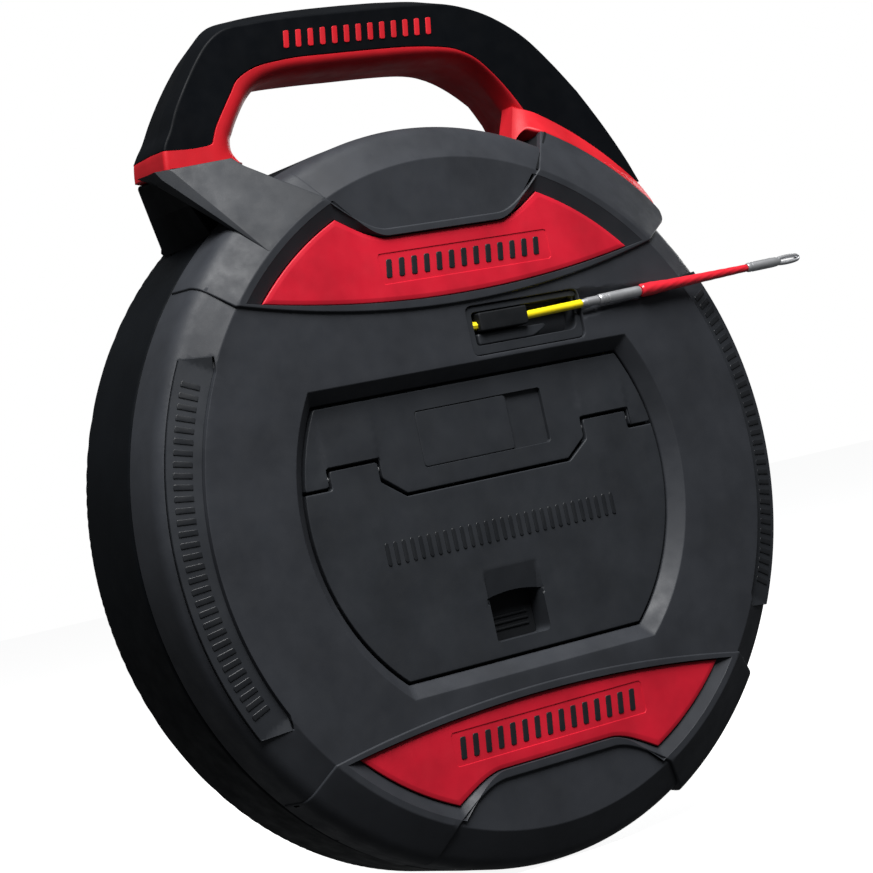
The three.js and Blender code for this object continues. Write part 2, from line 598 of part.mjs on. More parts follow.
function latchKeeper() {
  const [y0, y1] = [LATCH_Y + 2.4 + GAP, LATCH_Y + 4.4];
  const cover = block(-SCOOP.half - 4, SCOOP.half + 4, y0, y1, SCOOP.bottom - 3, SCOOP.lip + 16);
  const rails = [-1, 1].map((side) => {
    const [x0, x1] = [side * (SCOOP.half + GAP), side * (SCOOP.half + 4)].sort((a, b) => a - b);
    return block(x0, x1, LATCH_Y, y1, SCOOP.bottom - 3, SCOOP.lip + 16);
  });
  const stop = block(-SCOOP.half - 4, SCOOP.half + 4, LATCH_Y, y1, SCOOP.lip + 13, SCOOP.lip + 16);
  return joinAll([cover, ...rails, stop]);
}

function latchSpring() {
  const g = new THREE.CylinderGeometry(1.1, 1.1, 13 - 2 - 2 * GAP, 10);
  g.rotateX(Math.PI / 2);
  g.translate(0, LATCH_Y + 1.2, SCOOP.lip + 2 + (13 - 2) / 2);
  return solid(g);
}

const TRAY_BACK = FACE + 41;
function tray() {
  const outline = bay(BEVEL + GAP);
  const inner = bay(BEVEL + GAP + 2);
  const front = LID_BACK + GAP;
  const shelfRoom = block(-frac(0.62), frac(0.62), FRONT, HINGE_Y + 12, HINGE_Z - 8, HINGE_Z + 16);
  const cup = plate(outline, front, TRAY_BACK).subtract(plate(inner, front - 1, TRAY_BACK - 2));
  const latchRoom = block(-7, 7, FRONT, LATCH_Y + 6, BAY_BOTTOM + BEVEL - 3, BAY_BOTTOM + BEVEL + 6);
  return cutAll(cup, [latchRoom, shelfRoom.intersect(plate(inner, FRONT, BACK))]);
}

// ---------------------------------------------------------------- port and rod end
function portBezel() {
  const outline = roundedRectangle(PORT.x0 + GAP, PORT.x1 - GAP, PORT.z0 + GAP, PORT.z1 - GAP, 3);
  const slot = roundedRectangle(PORT.x0 + 2.6, PORT.x1 - 2, frac(0.42), frac(0.532), 2.5);
  const body = plate(outline, FACE + 0.2, PORT.back).subtract(plate(slot, AHEAD, PORT.back - 1.4));
  const leadHole = tube(LEAD_ROUTE.slice(0, 3), ROD_R + 0.9, 5, 6);
  return cutAll(body, [rodTrough(), leadHole]);
}

const GUIDE = { x0: frac(0.068), x1: frac(0.232), z0: frac(0.466), z1: frac(0.522) };
function rodGuide() {
  const body = block(GUIDE.x0, GUIDE.x1, FACE - PROUD, PORT.back - 1.4 - GAP, GUIDE.z0, GUIDE.z1);
  return body.subtract(onRod([[-40, 0], [-40, ROD_R + GAP], [20, ROD_R + GAP], [20, 0]]));
}

function rodClamp() {
  return block(frac(0.045), frac(0.3), FACE + 0.6, PORT.back - 1.4 - GAP, frac(0.428), frac(0.46));
}

const ALONG = { ferrule: 28, sleeve: 37, leader: 59, eye: 117, tip: 147 };
const rodEnd = () => onRod([[-24, 0], [-24, ROD_R], [ALONG.ferrule, ROD_R], [ALONG.ferrule, 0]]);
const ferrule = () => onRod([
  [ALONG.ferrule + GAP, 0], [ALONG.ferrule + GAP, 1.5], [ALONG.ferrule + 2, 1.9],
  [ALONG.sleeve - GAP, 1.9], [ALONG.sleeve - GAP, 0],
], 16);
const sleeve = () => onRod([
  [ALONG.sleeve, 0], [ALONG.sleeve, 2.3], [ALONG.sleeve + 1, 2.6],
  [ALONG.leader - 1.5, 2.6], [ALONG.leader - GAP, 2.2], [ALONG.leader - GAP, 0],
], 16);
const leader = () => onRod([
  [ALONG.leader, 0], [ALONG.leader, 2.8], [ALONG.leader + 6, 2.9],
  [ALONG.eye - GAP, 1.6], [ALONG.eye - GAP, 0],
], 8);

function pullingEye() {
  const shank = onRod([
    [ALONG.eye, 0], [ALONG.eye, 1.9], [ALONG.eye + 1, 2.2], [ALONG.tip - 13, 2.2], [ALONG.tip - 3, 2.1],
    [ALONG.tip - 1, 1.5], [ALONG.tip, 0],
  ], 16);
  const slot = roundedRectangle(ALONG.tip - 11, ALONG.tip - 2, -1.0, 1.0, 0.95);
  const g = new THREE.ExtrudeGeometry(slot, { depth: 12, bevelEnabled: false, curveSegments: 3 });
  g.translate(0, 0, -6);
  g.rotateX(Math.PI / 2);
  g.applyQuaternion(new THREE.Quaternion().setFromUnitVectors(new THREE.Vector3(1, 0, 0), ROD_DIR));
  g.translate(ROD_START.x, ROD_START.y, ROD_START.z);
  return shank.subtract(solid(g));
}

// ---------------------------------------------------------------- cage and axle
const CAGE_R = frac(0.995);
const WEB = { y0: BACK - 15, y1: BACK - 12.5 };
const AXLE_R = 8;
const AXLE_FRONT = TRAY_BACK + 4;

function axlePost() {
  const bore = disc(3 + GAP, AXLE_FRONT - 1, BACK, 12);
  return disc(AXLE_R, AXLE_FRONT, BACK - WALL - GAP, 24).subtract(bore);
}
const axleScrew = () => disc(3, AXLE_FRONT + 2, BACK - 1.6, 12).add(disc(6, BACK - 1.6, BACK - 0.3, 16));
const axleWasher = () => ring(3.2, 12.5, AXLE_FRONT - 1.5, AXLE_FRONT - GAP, 24);
const bushing = () => ring(AXLE_R + GAP, AXLE_R + 2.7, AXLE_FRONT + GAP, BACK - WALL - 3, 24);

function cage() {
  const hub = ring(AXLE_R + 3, AXLE_R + 7, AXLE_FRONT + GAP, BACK - WALL - 3, 24);
  const web = ring(AXLE_R + 5, CAGE_R - 0.5, WEB.y0, WEB.y1, INNER_SEGMENTS);
  const wall = ring(CAGE_R - 2.2, CAGE_R, FACE + 12, WEB.y1, INNER_SEGMENTS);
  const windows = Array.from({ length: 8 }, (_, i) => {
    const a = (i * Math.PI) / 4;
    return pegY(frac(0.42) * Math.cos(a), frac(0.42) * Math.sin(a), frac(0.11), WEB.y0 - 2, WEB.y1 + 2, 12);
  });
  return cutAll(joinAll([hub, web, wall]), windows);
}

const cageLip = () => ring(frac(0.9), CAGE_R, FACE + 9.5, FACE + 12 - GAP, INNER_SEGMENTS);
const COIL = { r0: frac(0.8), r1: CAGE_R - 3, y0: WEB.y0 - 21, y1: WEB.y0 - 0.5 };
const coil = () => ring(COIL.r0, COIL.r1, COIL.y0, COIL.y1, INNER_SEGMENTS);

function caseScrew([x, z]) {
  const headBack = BACK - 0.6;
  const head = pegY(x, z, 3.4, headBack - 2.4, headBack, 10);
  return head.add(pegY(x, z, 1.9, SHOULDER_Y + 11, headBack - 2, 8));
}
const handleScrew = ([x, z]) => pegY(x, z, 2.2, BACK - 28, HANDLE_BACK + 0.4, 10);

// ---------------------------------------------------------------- assembly
const model = new THREE.Group();
const body = new THREE.Group();
body.position.z = HUB_Z;
model.add(body);

const finishes = {
  shell: { color: 0x2b2e34, roughness: 0.55, metalness: 0 },
  panel: { color: 0x26292e, roughness: 0.6, metalness: 0 },
  black: { color: 0x0c0e12, roughness: 0.5, metalness: 0 },
  red: { color: 0xc0202c, roughness: 0.45, metalness: 0 },
  rod: { color: 0xf2dc10, roughness: 0.4, metalness: 0 },
  steel: { color: 0xb4b6b9, roughness: 0.3, metalness: 1 },
  cage: { color: 0x3a3d40, roughness: 0.6, metalness: 0 },
  bronze: { color: 0x8f6a3a, roughness: 0.4, metalness: 1 },
};

function add(name, manifold, finish) {
  const mesh = new THREE.Mesh(geometryOf(manifold), new THREE.MeshStandardMaterial(finishes[finish]));
  mesh.name = name;
  body.add(mesh);
}

add('front_shell', frontShell(), 'shell');
add('rear_shell', rearShell(), 'black');
add('upper_frame', upperFrame(), 'shell');
add('lower_frame', lowerFrame(), 'shell');
add('upper_plate', redPlate(upperPlate), 'red');
add('lower_plate', redPlate(lowerPlate), 'red');
add('side_pad_left', sidePad(-1), 'panel');
add('side_pad_right', sidePad(1), 'panel');
add('handle_core', handleCore(), 'black');
add('handle_grip', handleGrip(), 'red');
add('grip_strip', gripStrip(), 'red');
add('handle_root_left', leftRoot(), 'black');
add('handle_root_right', rightRoot(), 'black');
handleScrewPlaces.forEach((place, i) => add(`handle_screw_${i + 1}`, handleScrew(place), 'steel'));
add('accessory_tray', tray(), 'black');
add('hinge_panel', hingePanel(), 'panel');
add('slide_button', slideButton(), 'panel');
add('lid', lid(), 'panel');
for (const [name, side] of [['hinge_pin_left', -1], ['hinge_pin_right', 1]]) {
  const [x0, x1] = [side * (notch.in - 2.2), side * (notch.out + 2.2)].sort((a, b) => a - b);
  add(name, pegX(HINGE_Y, HINGE_Z, PIN_R, x0, x1, 12), 'steel');
}
add('lid_latch', lidLatch(), 'black');
add('latch_keeper', latchKeeper(), 'black');
add('latch_spring', latchSpring(), 'steel');
add('port_bezel', portBezel(), 'panel');
add('rod_guide', rodGuide(), 'black');
add('rod_clamp', rodClamp(), 'black');
add('rod_end', rodEnd(), 'rod');
add('rod_ferrule', ferrule(), 'steel');
add('swivel_sleeve', sleeve(), 'steel');
add('flexible_leader', leader(), 'red');
add('pulling_eye', pullingEye(), 'steel');
add('rod_lead', tube(LEAD_ROUTE.map((p, i) => (i === 0 ? rodPoint(-24.4) : p)), ROD_R, 22), 'rod');
add('rod_coil', coil(), 'rod');
add('storage_cage', cage(), 'cage');
add('cage_lip', cageLip(), 'cage');
add('cage_bushing', bushing(), 'bronze');
add('axle_post', axlePost(), 'cage');
add('axle_washer', axleWasher(), 'steel');
add('axle_screw', axleScrew(), 'steel');
screwPlaces.forEach((place, i) => add(`case_screw_${i + 1}`, caseScrew(place), 'steel'));

export default model;
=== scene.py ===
"""The looks of a fish tape reel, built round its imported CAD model.

Shapes are given in face radii: x to the right of the case's axis, d behind the flat front face and
z above the axis. Body.piece() turns them into metres in the row frame. Outlines on the case are
spread flat first: a point's distance from the middle is then its distance along the surface.
"""

import math

import bmesh
import bpy
import numpy as np
from mathutils import Matrix, Vector, geometry


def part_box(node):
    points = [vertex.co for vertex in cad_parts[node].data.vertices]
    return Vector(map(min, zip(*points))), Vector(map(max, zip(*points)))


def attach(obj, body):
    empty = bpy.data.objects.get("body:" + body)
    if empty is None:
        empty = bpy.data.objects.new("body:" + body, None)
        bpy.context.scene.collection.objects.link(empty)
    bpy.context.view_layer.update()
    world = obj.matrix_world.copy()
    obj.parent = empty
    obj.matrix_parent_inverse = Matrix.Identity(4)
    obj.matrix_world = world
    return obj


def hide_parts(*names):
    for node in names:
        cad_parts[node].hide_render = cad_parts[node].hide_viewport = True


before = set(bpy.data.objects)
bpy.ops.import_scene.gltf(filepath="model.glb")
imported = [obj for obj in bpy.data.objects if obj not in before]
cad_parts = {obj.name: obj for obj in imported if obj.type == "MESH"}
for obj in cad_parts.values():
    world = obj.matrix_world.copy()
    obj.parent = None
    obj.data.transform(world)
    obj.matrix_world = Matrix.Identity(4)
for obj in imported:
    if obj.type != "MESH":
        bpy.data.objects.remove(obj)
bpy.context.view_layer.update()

# ------------------------------------------------------------------ sizes that come from the frame
rear_low, rear_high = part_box("rear_shell")
RIM = 1.113                                      # widest radius of the case
R = (rear_high.x - rear_low.x) / 2 / RIM         # radius of the flat face, in metres
AXIS_Z = (rear_high.z + rear_low.z) / 2
FACE_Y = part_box("front_shell")[0].y
BACK = (rear_high.y - FACE_Y) / R


def mm(value):
    """Millimetres in face radii."""
    return value * 0.001 / R


def metres(points):
    """Points (x, d, z) in face radii, as metres in the row frame."""
    return np.atleast_2d(points) * R + np.array([0.0, FACE_Y, AXIS_Z])


def depth_of(node, side=0):
    """Depth behind the face of a CAD node's front (side 0) or back (side 1)."""
    return (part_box(node)[side].y - FACE_Y) / R


PROUD = -depth_of("upper_frame")                 # how far the frames stand above the face
LID_D = depth_of("hinge_panel")
SPLIT_D = depth_of("front_shell", 1)             # where the two shells meet
FRONT_END = SPLIT_D - mm(0.8)                    # where the front shell's rim turns inwards
GAP = mm(0.3)
SLIT = mm(1.2)
WALL = mm(2.6)
INSIDE = -WALL - 0.002                           # height of the front shell's inner surface
SHOULDER = (1.111, 0.062)                        # outer edge of the sloping shoulder
ROUND = 360                                      # points of a full ring about the axis

# ------------------------------------------------------------------ camera
scene = bpy.context.scene
camera = bpy.data.objects.new("camera", bpy.data.cameras.new("camera"))
scene.collection.objects.link(camera)
scene.camera = camera
look = Vector((0.57402, 0.81862, 0.01901)).normalized()
up = Vector((0.16336, -0.13723, 0.97698))
right = look.cross(up).normalized()
up = right.cross(look)
camera.matrix_world = Matrix.Translation(metres((-4.7044, -6.4445, 0.0383))[0]) @ Matrix(
    (right, up, -look)).transposed().to_4x4()
camera.data.sensor_width = 36
camera.data.lens = 111.436
camera.data.clip_start = 0.05


# ------------------------------------------------------------------ outlines
def lengths(points):
    """Distances along a run of points, starting at 0."""
    steps = np.linalg.norm(np.diff(points, axis=0), axis=1)
    return np.concatenate([[0.0], np.cumsum(steps)])


def resampled(points, step):
    """The same run with evenly spaced points."""
    points = np.array(points, float)
    along = lengths(points)
    wanted = np.linspace(0, along[-1], max(1, round(along[-1] / step)) + 1)
    return np.stack([np.interp(wanted, along, column) for column in points.T], 1)


def smooth(points, spans=8):
    """A smooth open curve through the points."""
    p = np.array(points, float)
    p = np.vstack([2 * p[0] - p[1], p, 2 * p[-1] - p[-2]])
    t = np.linspace(0, 1, spans, endpoint=False)[:, None]
    parts = []
    for a, b, c, d in zip(p, p[1:], p[2:], p[3:]):
        parts.append(0.5 * (2 * b + (c - a) * t + (2 * a - 5 * b + 4 * c - d) * t**2
                            + (3 * b - a - 3 * c + d) * t**3))
    return np.vstack(parts + [p[-2:-1]])


def filleted(corners, radius, closed=True, steps=5):
    """Corner points with every corner rounded off. A radius may be given for each corner."""
    corners = [np.array(c, float) for c in corners]
    radii = radius if hasattr(radius, "__len__") else [radius] * len(corners)
    points = []
    for i, corner in enumerate(corners):
        if (not closed and i in (0, len(corners) - 1)) or radii[i] == 0:
            points.append(corner)
            continue
        back = corners[i - 1] - corner
        ahead = corners[(i + 1) % len(corners)] - corner
        sizes = np.linalg.norm(back), np.linalg.norm(ahead)
        back, ahead = back / sizes[0], ahead / sizes[1]
        half_turn = (math.pi - math.acos(np.clip(back @ ahead, -1, 1))) / 2
        cut = min(radii[i] * math.tan(half_turn), 0.48 * sizes[0], 0.48 * sizes[1])
        for t in np.linspace(0, 1, steps + 1):
            points.append(corner + back * cut * (1 - t) ** 2 + ahead * cut * t**2)
    return np.array(points)


def anticlockwise(loop):
    """The outline, turned round if it runs clockwise."""
    area = np.sum(loop[:, 0] * np.roll(loop[:, 1], -1) - loop[:, 1] * np.roll(loop[:, 0], -1))
    return loop if area > 0 else loop[::-1]


def outline(*runs, step=0.012):
    """A closed outline from runs of points. Corners between runs stay sharp."""
    joined = np.vstack([resampled(run, step) for run in runs])
    kept = [joined[0]]
    for point in joined[1:]:
        if np.linalg.norm(point - kept[-1]) > 1e-6:
            kept.append(point)
    if np.linalg.norm(kept[-1] - kept[0]) < 1e-6:
        kept.pop()
    return anticlockwise(np.array(kept))


def inset(loop, distance):
    """An anticlockwise outline moved inwards, or outwards if the distance is negative."""
    edges = np.roll(loop, -1, axis=0) - loop
    normals = np.stack([-edges[:, 1], edges[:, 0]], 1) / np.linalg.norm(edges, axis=1)[:, None]
    before = np.roll(normals, 1, axis=0)
    share = np.clip(1 + np.sum(before * normals, axis=1), 0.5, 2)[:, None]
    return loop + distance * (before + normals) / share


def polar(radius, degrees):
    """The point at a radius and an angle from the axis."""
    return np.array([radius * math.cos(math.radians(degrees)), radius * math.sin(math.radians(degrees))])


def arc(radius, start, end):
    """Points of an arc about the axis, from one angle to another, about a degree apart."""
    count = max(2, round(abs(end - start)) + 1)
    return np.array([polar(radius, a) for a in np.linspace(start, end, count)])


def circle(radius, centre=(0.0, 0.0), count=48):
    angles = np.linspace(0, 2 * math.pi, count, endpoint=False)
    return np.stack([centre[0] + radius * np.cos(angles), centre[1] + radius * np.sin(angles)], 1)


def closed(loop):
    """The same outline with its first point repeated at its end."""
    return np.vstack([loop, loop[:1]])


def looped(corners, step=0.012):
    """A closed outline of evenly spaced points through corner points."""
    return outline(closed(corners), step=step)


def rectangle(x0, x1, z0, z1, radius, step=0.012):
    return looped(filleted([(x0, z0), (x1, z0), (x1, z1), (x0, z1)], radius), step)


def mirrored(half):
    """Half an outline, from the middle to the right, and its mirror image, from left to right."""
    half = np.array(half, float)
    return np.vstack([half[::-1] * [-1, 1], half[half[:, 0] > 1e-9]])


def inside(points, loop):
    """Which points lie inside a closed outline."""
    found = np.zeros(len(points), bool)
    for (x0, z0), (x1, z1) in zip(loop, np.roll(loop, -1, axis=0)):
        if z0 == z1:
            continue
        crosses = (z0 > points[:, 1]) != (z1 > points[:, 1])
        found ^= crosses & (points[:, 0] < (x1 - x0) * (points[:, 1] - z0) / (z1 - z0) + x0)
    return found


def between(points, outer, holes):
    """Which points lie inside an outline and outside its holes."""
    found = inside(points, outer)
    for hole in holes:
        found &= ~inside(points, hole)
    return found


def nearest(points, others):
    """The squared distance from each point to the nearest of the others."""
    return np.array([np.min(np.sum((others - point) ** 2, axis=1)) for point in points])


def stretches(run, wanted):
    """The stretches of a run whose points are all wanted."""
    cuts = np.flatnonzero(np.diff(np.concatenate([[False], wanted, [False]]).astype(int)))
    return [run[a:b] for a, b in zip(cuts[::2], cuts[1::2]) if b - a > 1]


def grid(low, high, spacing):
    """Points of an even triangular grid between two corners."""
    rows = np.arange(low[1] + spacing / 2, high[1], spacing * 0.866)
    columns = np.arange(low[0] + spacing / 2, high[0], spacing)
    shifts = [spacing / 2 if i % 2 else 0.0 for i in range(len(rows))]
    return np.array([(x + shift, z) for z, shift in zip(rows, shifts) for x in columns]).reshape(-1, 2)


def fill(outer, holes=(), spacing=0.02, creases=(), fine=()):
    """Triangles between an outline and its holes, with evenly spread points inside it.

    creases are open runs that edges follow; fine are areas (low, high, spacing) with closer points.
    """
    coarse = grid(outer.min(0), outer.max(0), spacing)
    for low, high, _ in fine:
        coarse = coarse[~np.all((coarse > low) & (coarse < high), axis=1)]
    free = [(coarse, spacing)] + [(grid(low, high, closer), closer) for low, high, closer in fine]
    fixed = np.vstack([outer, *holes, *creases])
    kept = []
    for points, size in free:
        points = points[between(points, outer, holes)]
        kept.append(points[nearest(points, fixed) > (0.5 * size) ** 2])
    loops = [outer, *holes]
    edges, start = [], 0
    for run, count in [(loop, len(loop)) for loop in loops] + [(run, len(run) - 1) for run in creases]:
        edges += [(start + i, start + (i + 1) % len(run)) for i in range(count)]
        start += len(run)
    every = np.vstack([fixed, *kept])
    made = geometry.delaunay_2d_cdt([Vector(p) for p in every], edges, [], 0, 1e-7)
    points = np.array([(p.x, p.y) for p in made[0]])
    triangles = np.array([f for f in made[2]])
    return points, triangles[between(points[triangles].mean(axis=1), outer, holes)]


# ------------------------------------------------------------------ surfaces
class Turned:
    """A surface turned about the case's axis, onto which flat outlines are wrapped."""

    def __init__(self, corners, radius):
        self.line = filleted(corners, radius, closed=False, steps=8)
        self.along = lengths(self.line)
        self.folds = self.along[1:-1]
        tangents = np.gradient(self.line, axis=0)
        tangents /= np.linalg.norm(tangents, axis=1)[:, None]
        self.normals = np.stack([tangents[:, 1], -tangents[:, 0]], 1)
        self.end = self.along[-1]

    def __call__(self, points, height=0.0):
        """Points (x, d, z) of flat points, moved out from the surface by a height."""
        points = np.atleast_2d(points)
        rho = np.hypot(points[:, 0], points[:, 1])
        angle = np.arctan2(points[:, 1], points[:, 0])
        r, d = (np.interp(rho, self.along, self.line[:, k]) for k in (0, 1))
        nr, nd = (np.interp(rho, self.along, self.normals[:, k]) for k in (0, 1))
        r = r + nr * height
        return np.stack([r * np.cos(angle), d + nd * height, r * np.sin(angle)], 1)

    def spread(self, points):
        """Flat points of the points (x, z) of a front view."""
        points = np.atleast_2d(np.array(points, float))
        r = np.hypot(points[:, 0], points[:, 1])
        return points * (np.interp(r, self.line[:, 0], self.along) / np.maximum(r, 1e-9))[:, None]


def fold_runs(surface, loop, side=0):
    """Arcs along a turned surface's folds inside an outline, for the faces to follow.

    side keeps only the left (-1) or the right (1) half.
    """
    runs = []
    for rho in surface.folds:
        ring = circle(rho, count=ROUND)
        wanted = inside(ring, loop) & (nearest(ring, loop) > 0.007**2) & (ring[:, 0] * side >= 0)
        if wanted.all():
            runs.append(closed(ring))
        elif wanted.any():
            shift = np.flatnonzero(~wanted)[0]
            runs += stretches(np.roll(ring, -shift, axis=0), np.roll(wanted, -shift))
    return runs


def matched(runs, counts):
    """An outline with a set number of points in each run, so that its offsets match point by point."""
    loop = []
    for run, count in zip(runs, counts):
        run = np.array(run, float)
        along = lengths(run)
        wanted = np.linspace(0, along[-1], count, endpoint=False)
        loop.append(np.stack([np.interp(wanted, along, column) for column in run.T], 1))
    return anticlockwise(np.vstack(loop))


def flat(depth):
    """A flat surface at a depth. Heights count towards the front."""
    def wrap(points, height=0.0):
        points = np.atleast_2d(points)
        return np.stack([points[:, 0], depth - height + 0 * points[:, 0], points[:, 1]], 1)
    return wrap


def rounding(top, radius, steps=4):
    """(inset, height) pairs that round an edge off, up to its top."""
    turns = np.linspace(0, math.pi / 2, steps + 1)
    return [(radius * (1 - math.cos(a)), top - radius * (1 - math.sin(a))) for a in turns]


def stepped(loop, steps):
    """(outline, height) pairs of an outline, from (inset, height) pairs."""
    return [(inset(loop, inward), height) for inward, height in steps]


class Body:
    """Collects the faces of one piece, in face radii, and makes its mesh."""

    def __init__(self):
        self.points, self.faces = [], []
        self.count = 0

    def add(self, points):
        start = self.count
        self.points.append(np.asarray(points, float))
        self.count += len(points)
        return start

    def patch(self, points, triangles):
        start = self.add(points)
        self.faces += [tuple(int(i) + start for i in triangle) for triangle in triangles]
        return self

    def rings(self, loops):
        """Faces between closed loops that have the same number of points."""
        starts = [self.add(loop) for loop in loops]
        count = len(loops[0])
        for a, b in zip(starts, starts[1:]):
            for i in range(count):
                j = (i + 1) % count
                self.faces.append((a + i, a + j, b + j, b + i))
        return self

    def end(self, loop):
        """Closes a loop with a fan of triangles about its middle."""
        start = self.add(np.vstack([loop, np.mean(loop, axis=0)]))
        count = len(loop)
        self.faces += [(start + i, start + (i + 1) % count, start + count) for i in range(count)]
        return self

    def loft(self, loops):
        """A closed body through loops of the same number of points."""
        return self.rings(loops).end(loops[0]).end(loops[-1])

    def walls(self, wrap, pairs):
        """Faces between (outline, height) pairs on a surface."""
        return self.rings([wrap(loop, height) for loop, height in pairs])

    def area(self, wrap, loop, height=0.0, holes=(), relief=None, **how):
        """A filled area on a surface, at a height that its relief adds to."""
        points, triangles = fill(loop, holes, **how)
        heights = height + relief(points) if relief else height
        return self.patch(wrap(points, heights), triangles)

    def cover(self, wrap, edge, holes=(), bottom=None, **how):
        """A covered area: rounded outer edge, filled top, and holes with their own walls.

        edge and each of holes are lists of (outline, height). The edge ends at the top, and a
        hole starts there. bottom is the spacing of a floor between their far ends.
        """
        for pairs in [edge, *holes]:
            self.walls(wrap, pairs)
        self.area(wrap, *edge[-1], [pairs[0][0] for pairs in holes], **how)
        if bottom is not None:
            self.area(wrap, *edge[0], [pairs[-1][0] for pairs in holes], spacing=bottom)
        return self

    def slab(self, wrap, loop, thickness, radius, spacing=0.02):
        """A plate with a rounded front edge. Its front is at height 0."""
        edge = stepped(loop, [(0, -thickness), *rounding(0, radius, 3)])
        return self.cover(wrap, edge, bottom=max(spacing, 0.03), spacing=spacing)

    def piece(self, name, material, *nodes, carrier="case", slot=None):
        """Makes the mesh and its object, which rides on the carrier and replaces the CAD nodes."""
        mesh = bpy.data.meshes.new(name)
        mesh.from_pydata(metres(np.vstack(self.points)).tolist(), [], self.faces)
        joined = bpy.data.objects.new(name, mesh)
        scene.collection.objects.link(joined)
        tidy(mesh)
        mesh.shade_smooth()
        mesh.set_sharp_from_angle(angle=math.radians(38))
        normals = joined.modifiers.new("even_shading", "WEIGHTED_NORMAL")
        normals.keep_sharp = True
        mesh.materials.append(material)
        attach(joined, carrier)
        if nodes:
            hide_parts(*nodes)
        return joined


def tidy(mesh):
    """Merges points that coincide and turns all faces outwards."""
    work = bmesh.new()
    work.from_mesh(mesh)
    bmesh.ops.remove_doubles(work, verts=work.verts, dist=2e-6)
    bmesh.ops.dissolve_degenerate(work, edges=work.edges, dist=1e-6)
    bmesh.ops.recalc_face_normals(work, faces=work.faces)
    work.to_mesh(mesh)
    work.free()


# ------------------------------------------------------------------ materials
def new_material(name):
    """A new material, its node tree and its shader."""
    material = bpy.data.materials.new(name)
    material.use_nodes = True
    return material, material.node_tree, material.node_tree.nodes["Principled BSDF"]


def join(tree, value, socket):
    """Links an output to a socket, or sets the socket if the value is a plain one."""
    if hasattr(value, "is_linked"):
        tree.links.new(value, socket)
    else:
        socket.default_value = value


def new_node(tree, kind, output, **inputs):
    """Makes a node whose inputs are set or linked by name, and returns one of its outputs."""
    made = tree.nodes.new("ShaderNode" + kind)
    for name, value in inputs.items():
        join(tree, value, made.inputs[name.replace("_", " ")])
    return made.outputs[output]


def mixed(tree, factor, first, second):
    """A colour between two colours."""
    mix = tree.nodes.new("ShaderNodeMix")
    mix.data_type = "RGBA"
    for name, value in (("Factor", factor), ("A", first), ("B", second)):
        join(tree, value, mix.inputs[name])
    return mix.outputs["Result"]


def noise(tree, coordinates, scale, detail=3.0, roughness=0.55):
    """A noise value from 0 to 1."""
    return new_node(tree, "TexNoise", "Fac", Vector=coordinates, Scale=scale, Detail=detail,
                    Roughness=roughness)


def ranged(tree, value, low, high, to_low, to_high):
    """A value carried over from one range to another, and held inside it."""
    return new_node(tree, "MapRange", "Result", Value=value, From_Min=low, From_Max=high, To_Min=to_low,
                    To_Max=to_high)


def bumped(tree, height, strength, distance, **under):
    """A surface direction tilted by a height. under may give the Normal that it starts from."""
    return new_node(tree, "Bump", "Normal", Height=height, Strength=strength, Distance=distance, **under)


def shade(colour, factor, lift=0.0):
    """A colour made lighter or darker, with its alpha."""
    return (*(min(1.0, factor * c + lift) for c in colour), 1)


def moulded(name, colour, rough, grain=2600.0, depth=0.00005, worn=1.5, spread=0.1, **sockets):
    """Moulded plastic: fine grain, faint blotches, scuffs a little lighter.

    rough is the roughness in the middle, spread how far it varies, worn how much lighter wear is.
    """
    material, tree, shader = new_material(name)
    for socket, value in sockets.items():
        shader.inputs[socket.replace("_", " ")].default_value = value
    place = tree.nodes.new("ShaderNodeTexCoord").outputs["Object"]
    blotches = ranged(tree, noise(tree, place, 38.0), 0.35, 0.65, 0, 1)
    scuffs = ranged(tree, noise(tree, place, 420.0, 6.0, 0.7), 0.62, 0.80, 0, 0.3)
    base = mixed(tree, blotches, shade(colour, 0.86), shade(colour, 1.12))
    join(tree, mixed(tree, scuffs, base, shade(colour, worn, 0.001)), shader.inputs["Base Color"])
    uneven = ranged(tree, noise(tree, place, 120.0, 4.0), 0.3, 0.7, rough - spread, rough + spread)
    join(tree, uneven, shader.inputs["Roughness"])
    waves = bumped(tree, noise(tree, place, 90.0, 1.0), 0.2, 0.0002)
    grained = bumped(tree, noise(tree, place, grain, 2.0), 0.55, depth, Normal=waves)
    join(tree, grained, shader.inputs["Normal"])
    return material


def metal(name, colour, rough, direction):
    """Turned or drawn metal: fine lines across one axis, stretched along the two others."""
    material, tree, shader = new_material(name)
    shader.inputs["Metallic"].default_value = 0.8
    place = tree.nodes.new("ShaderNodeTexCoord").outputs["Object"]
    scale = tuple(3500.0 if axis == direction else 140.0 for axis in range(3))
    drawn = new_node(tree, "Mapping", "Vector", Vector=place, Scale=scale)
    stains = noise(tree, place, 160.0, 5.0)
    base = mixed(tree, ranged(tree, stains, 0.4, 0.7, 0, 1), shade(colour, 1), shade(colour, 0.72))
    join(tree, base, shader.inputs["Base Color"])
    join(tree, ranged(tree, stains, 0.3, 0.7, rough - 0.06, rough + 0.14), shader.inputs["Roughness"])
    join(tree, bumped(tree, noise(tree, drawn, 1.0), 0.3, 0.00003), shader.inputs["Normal"])
    return material


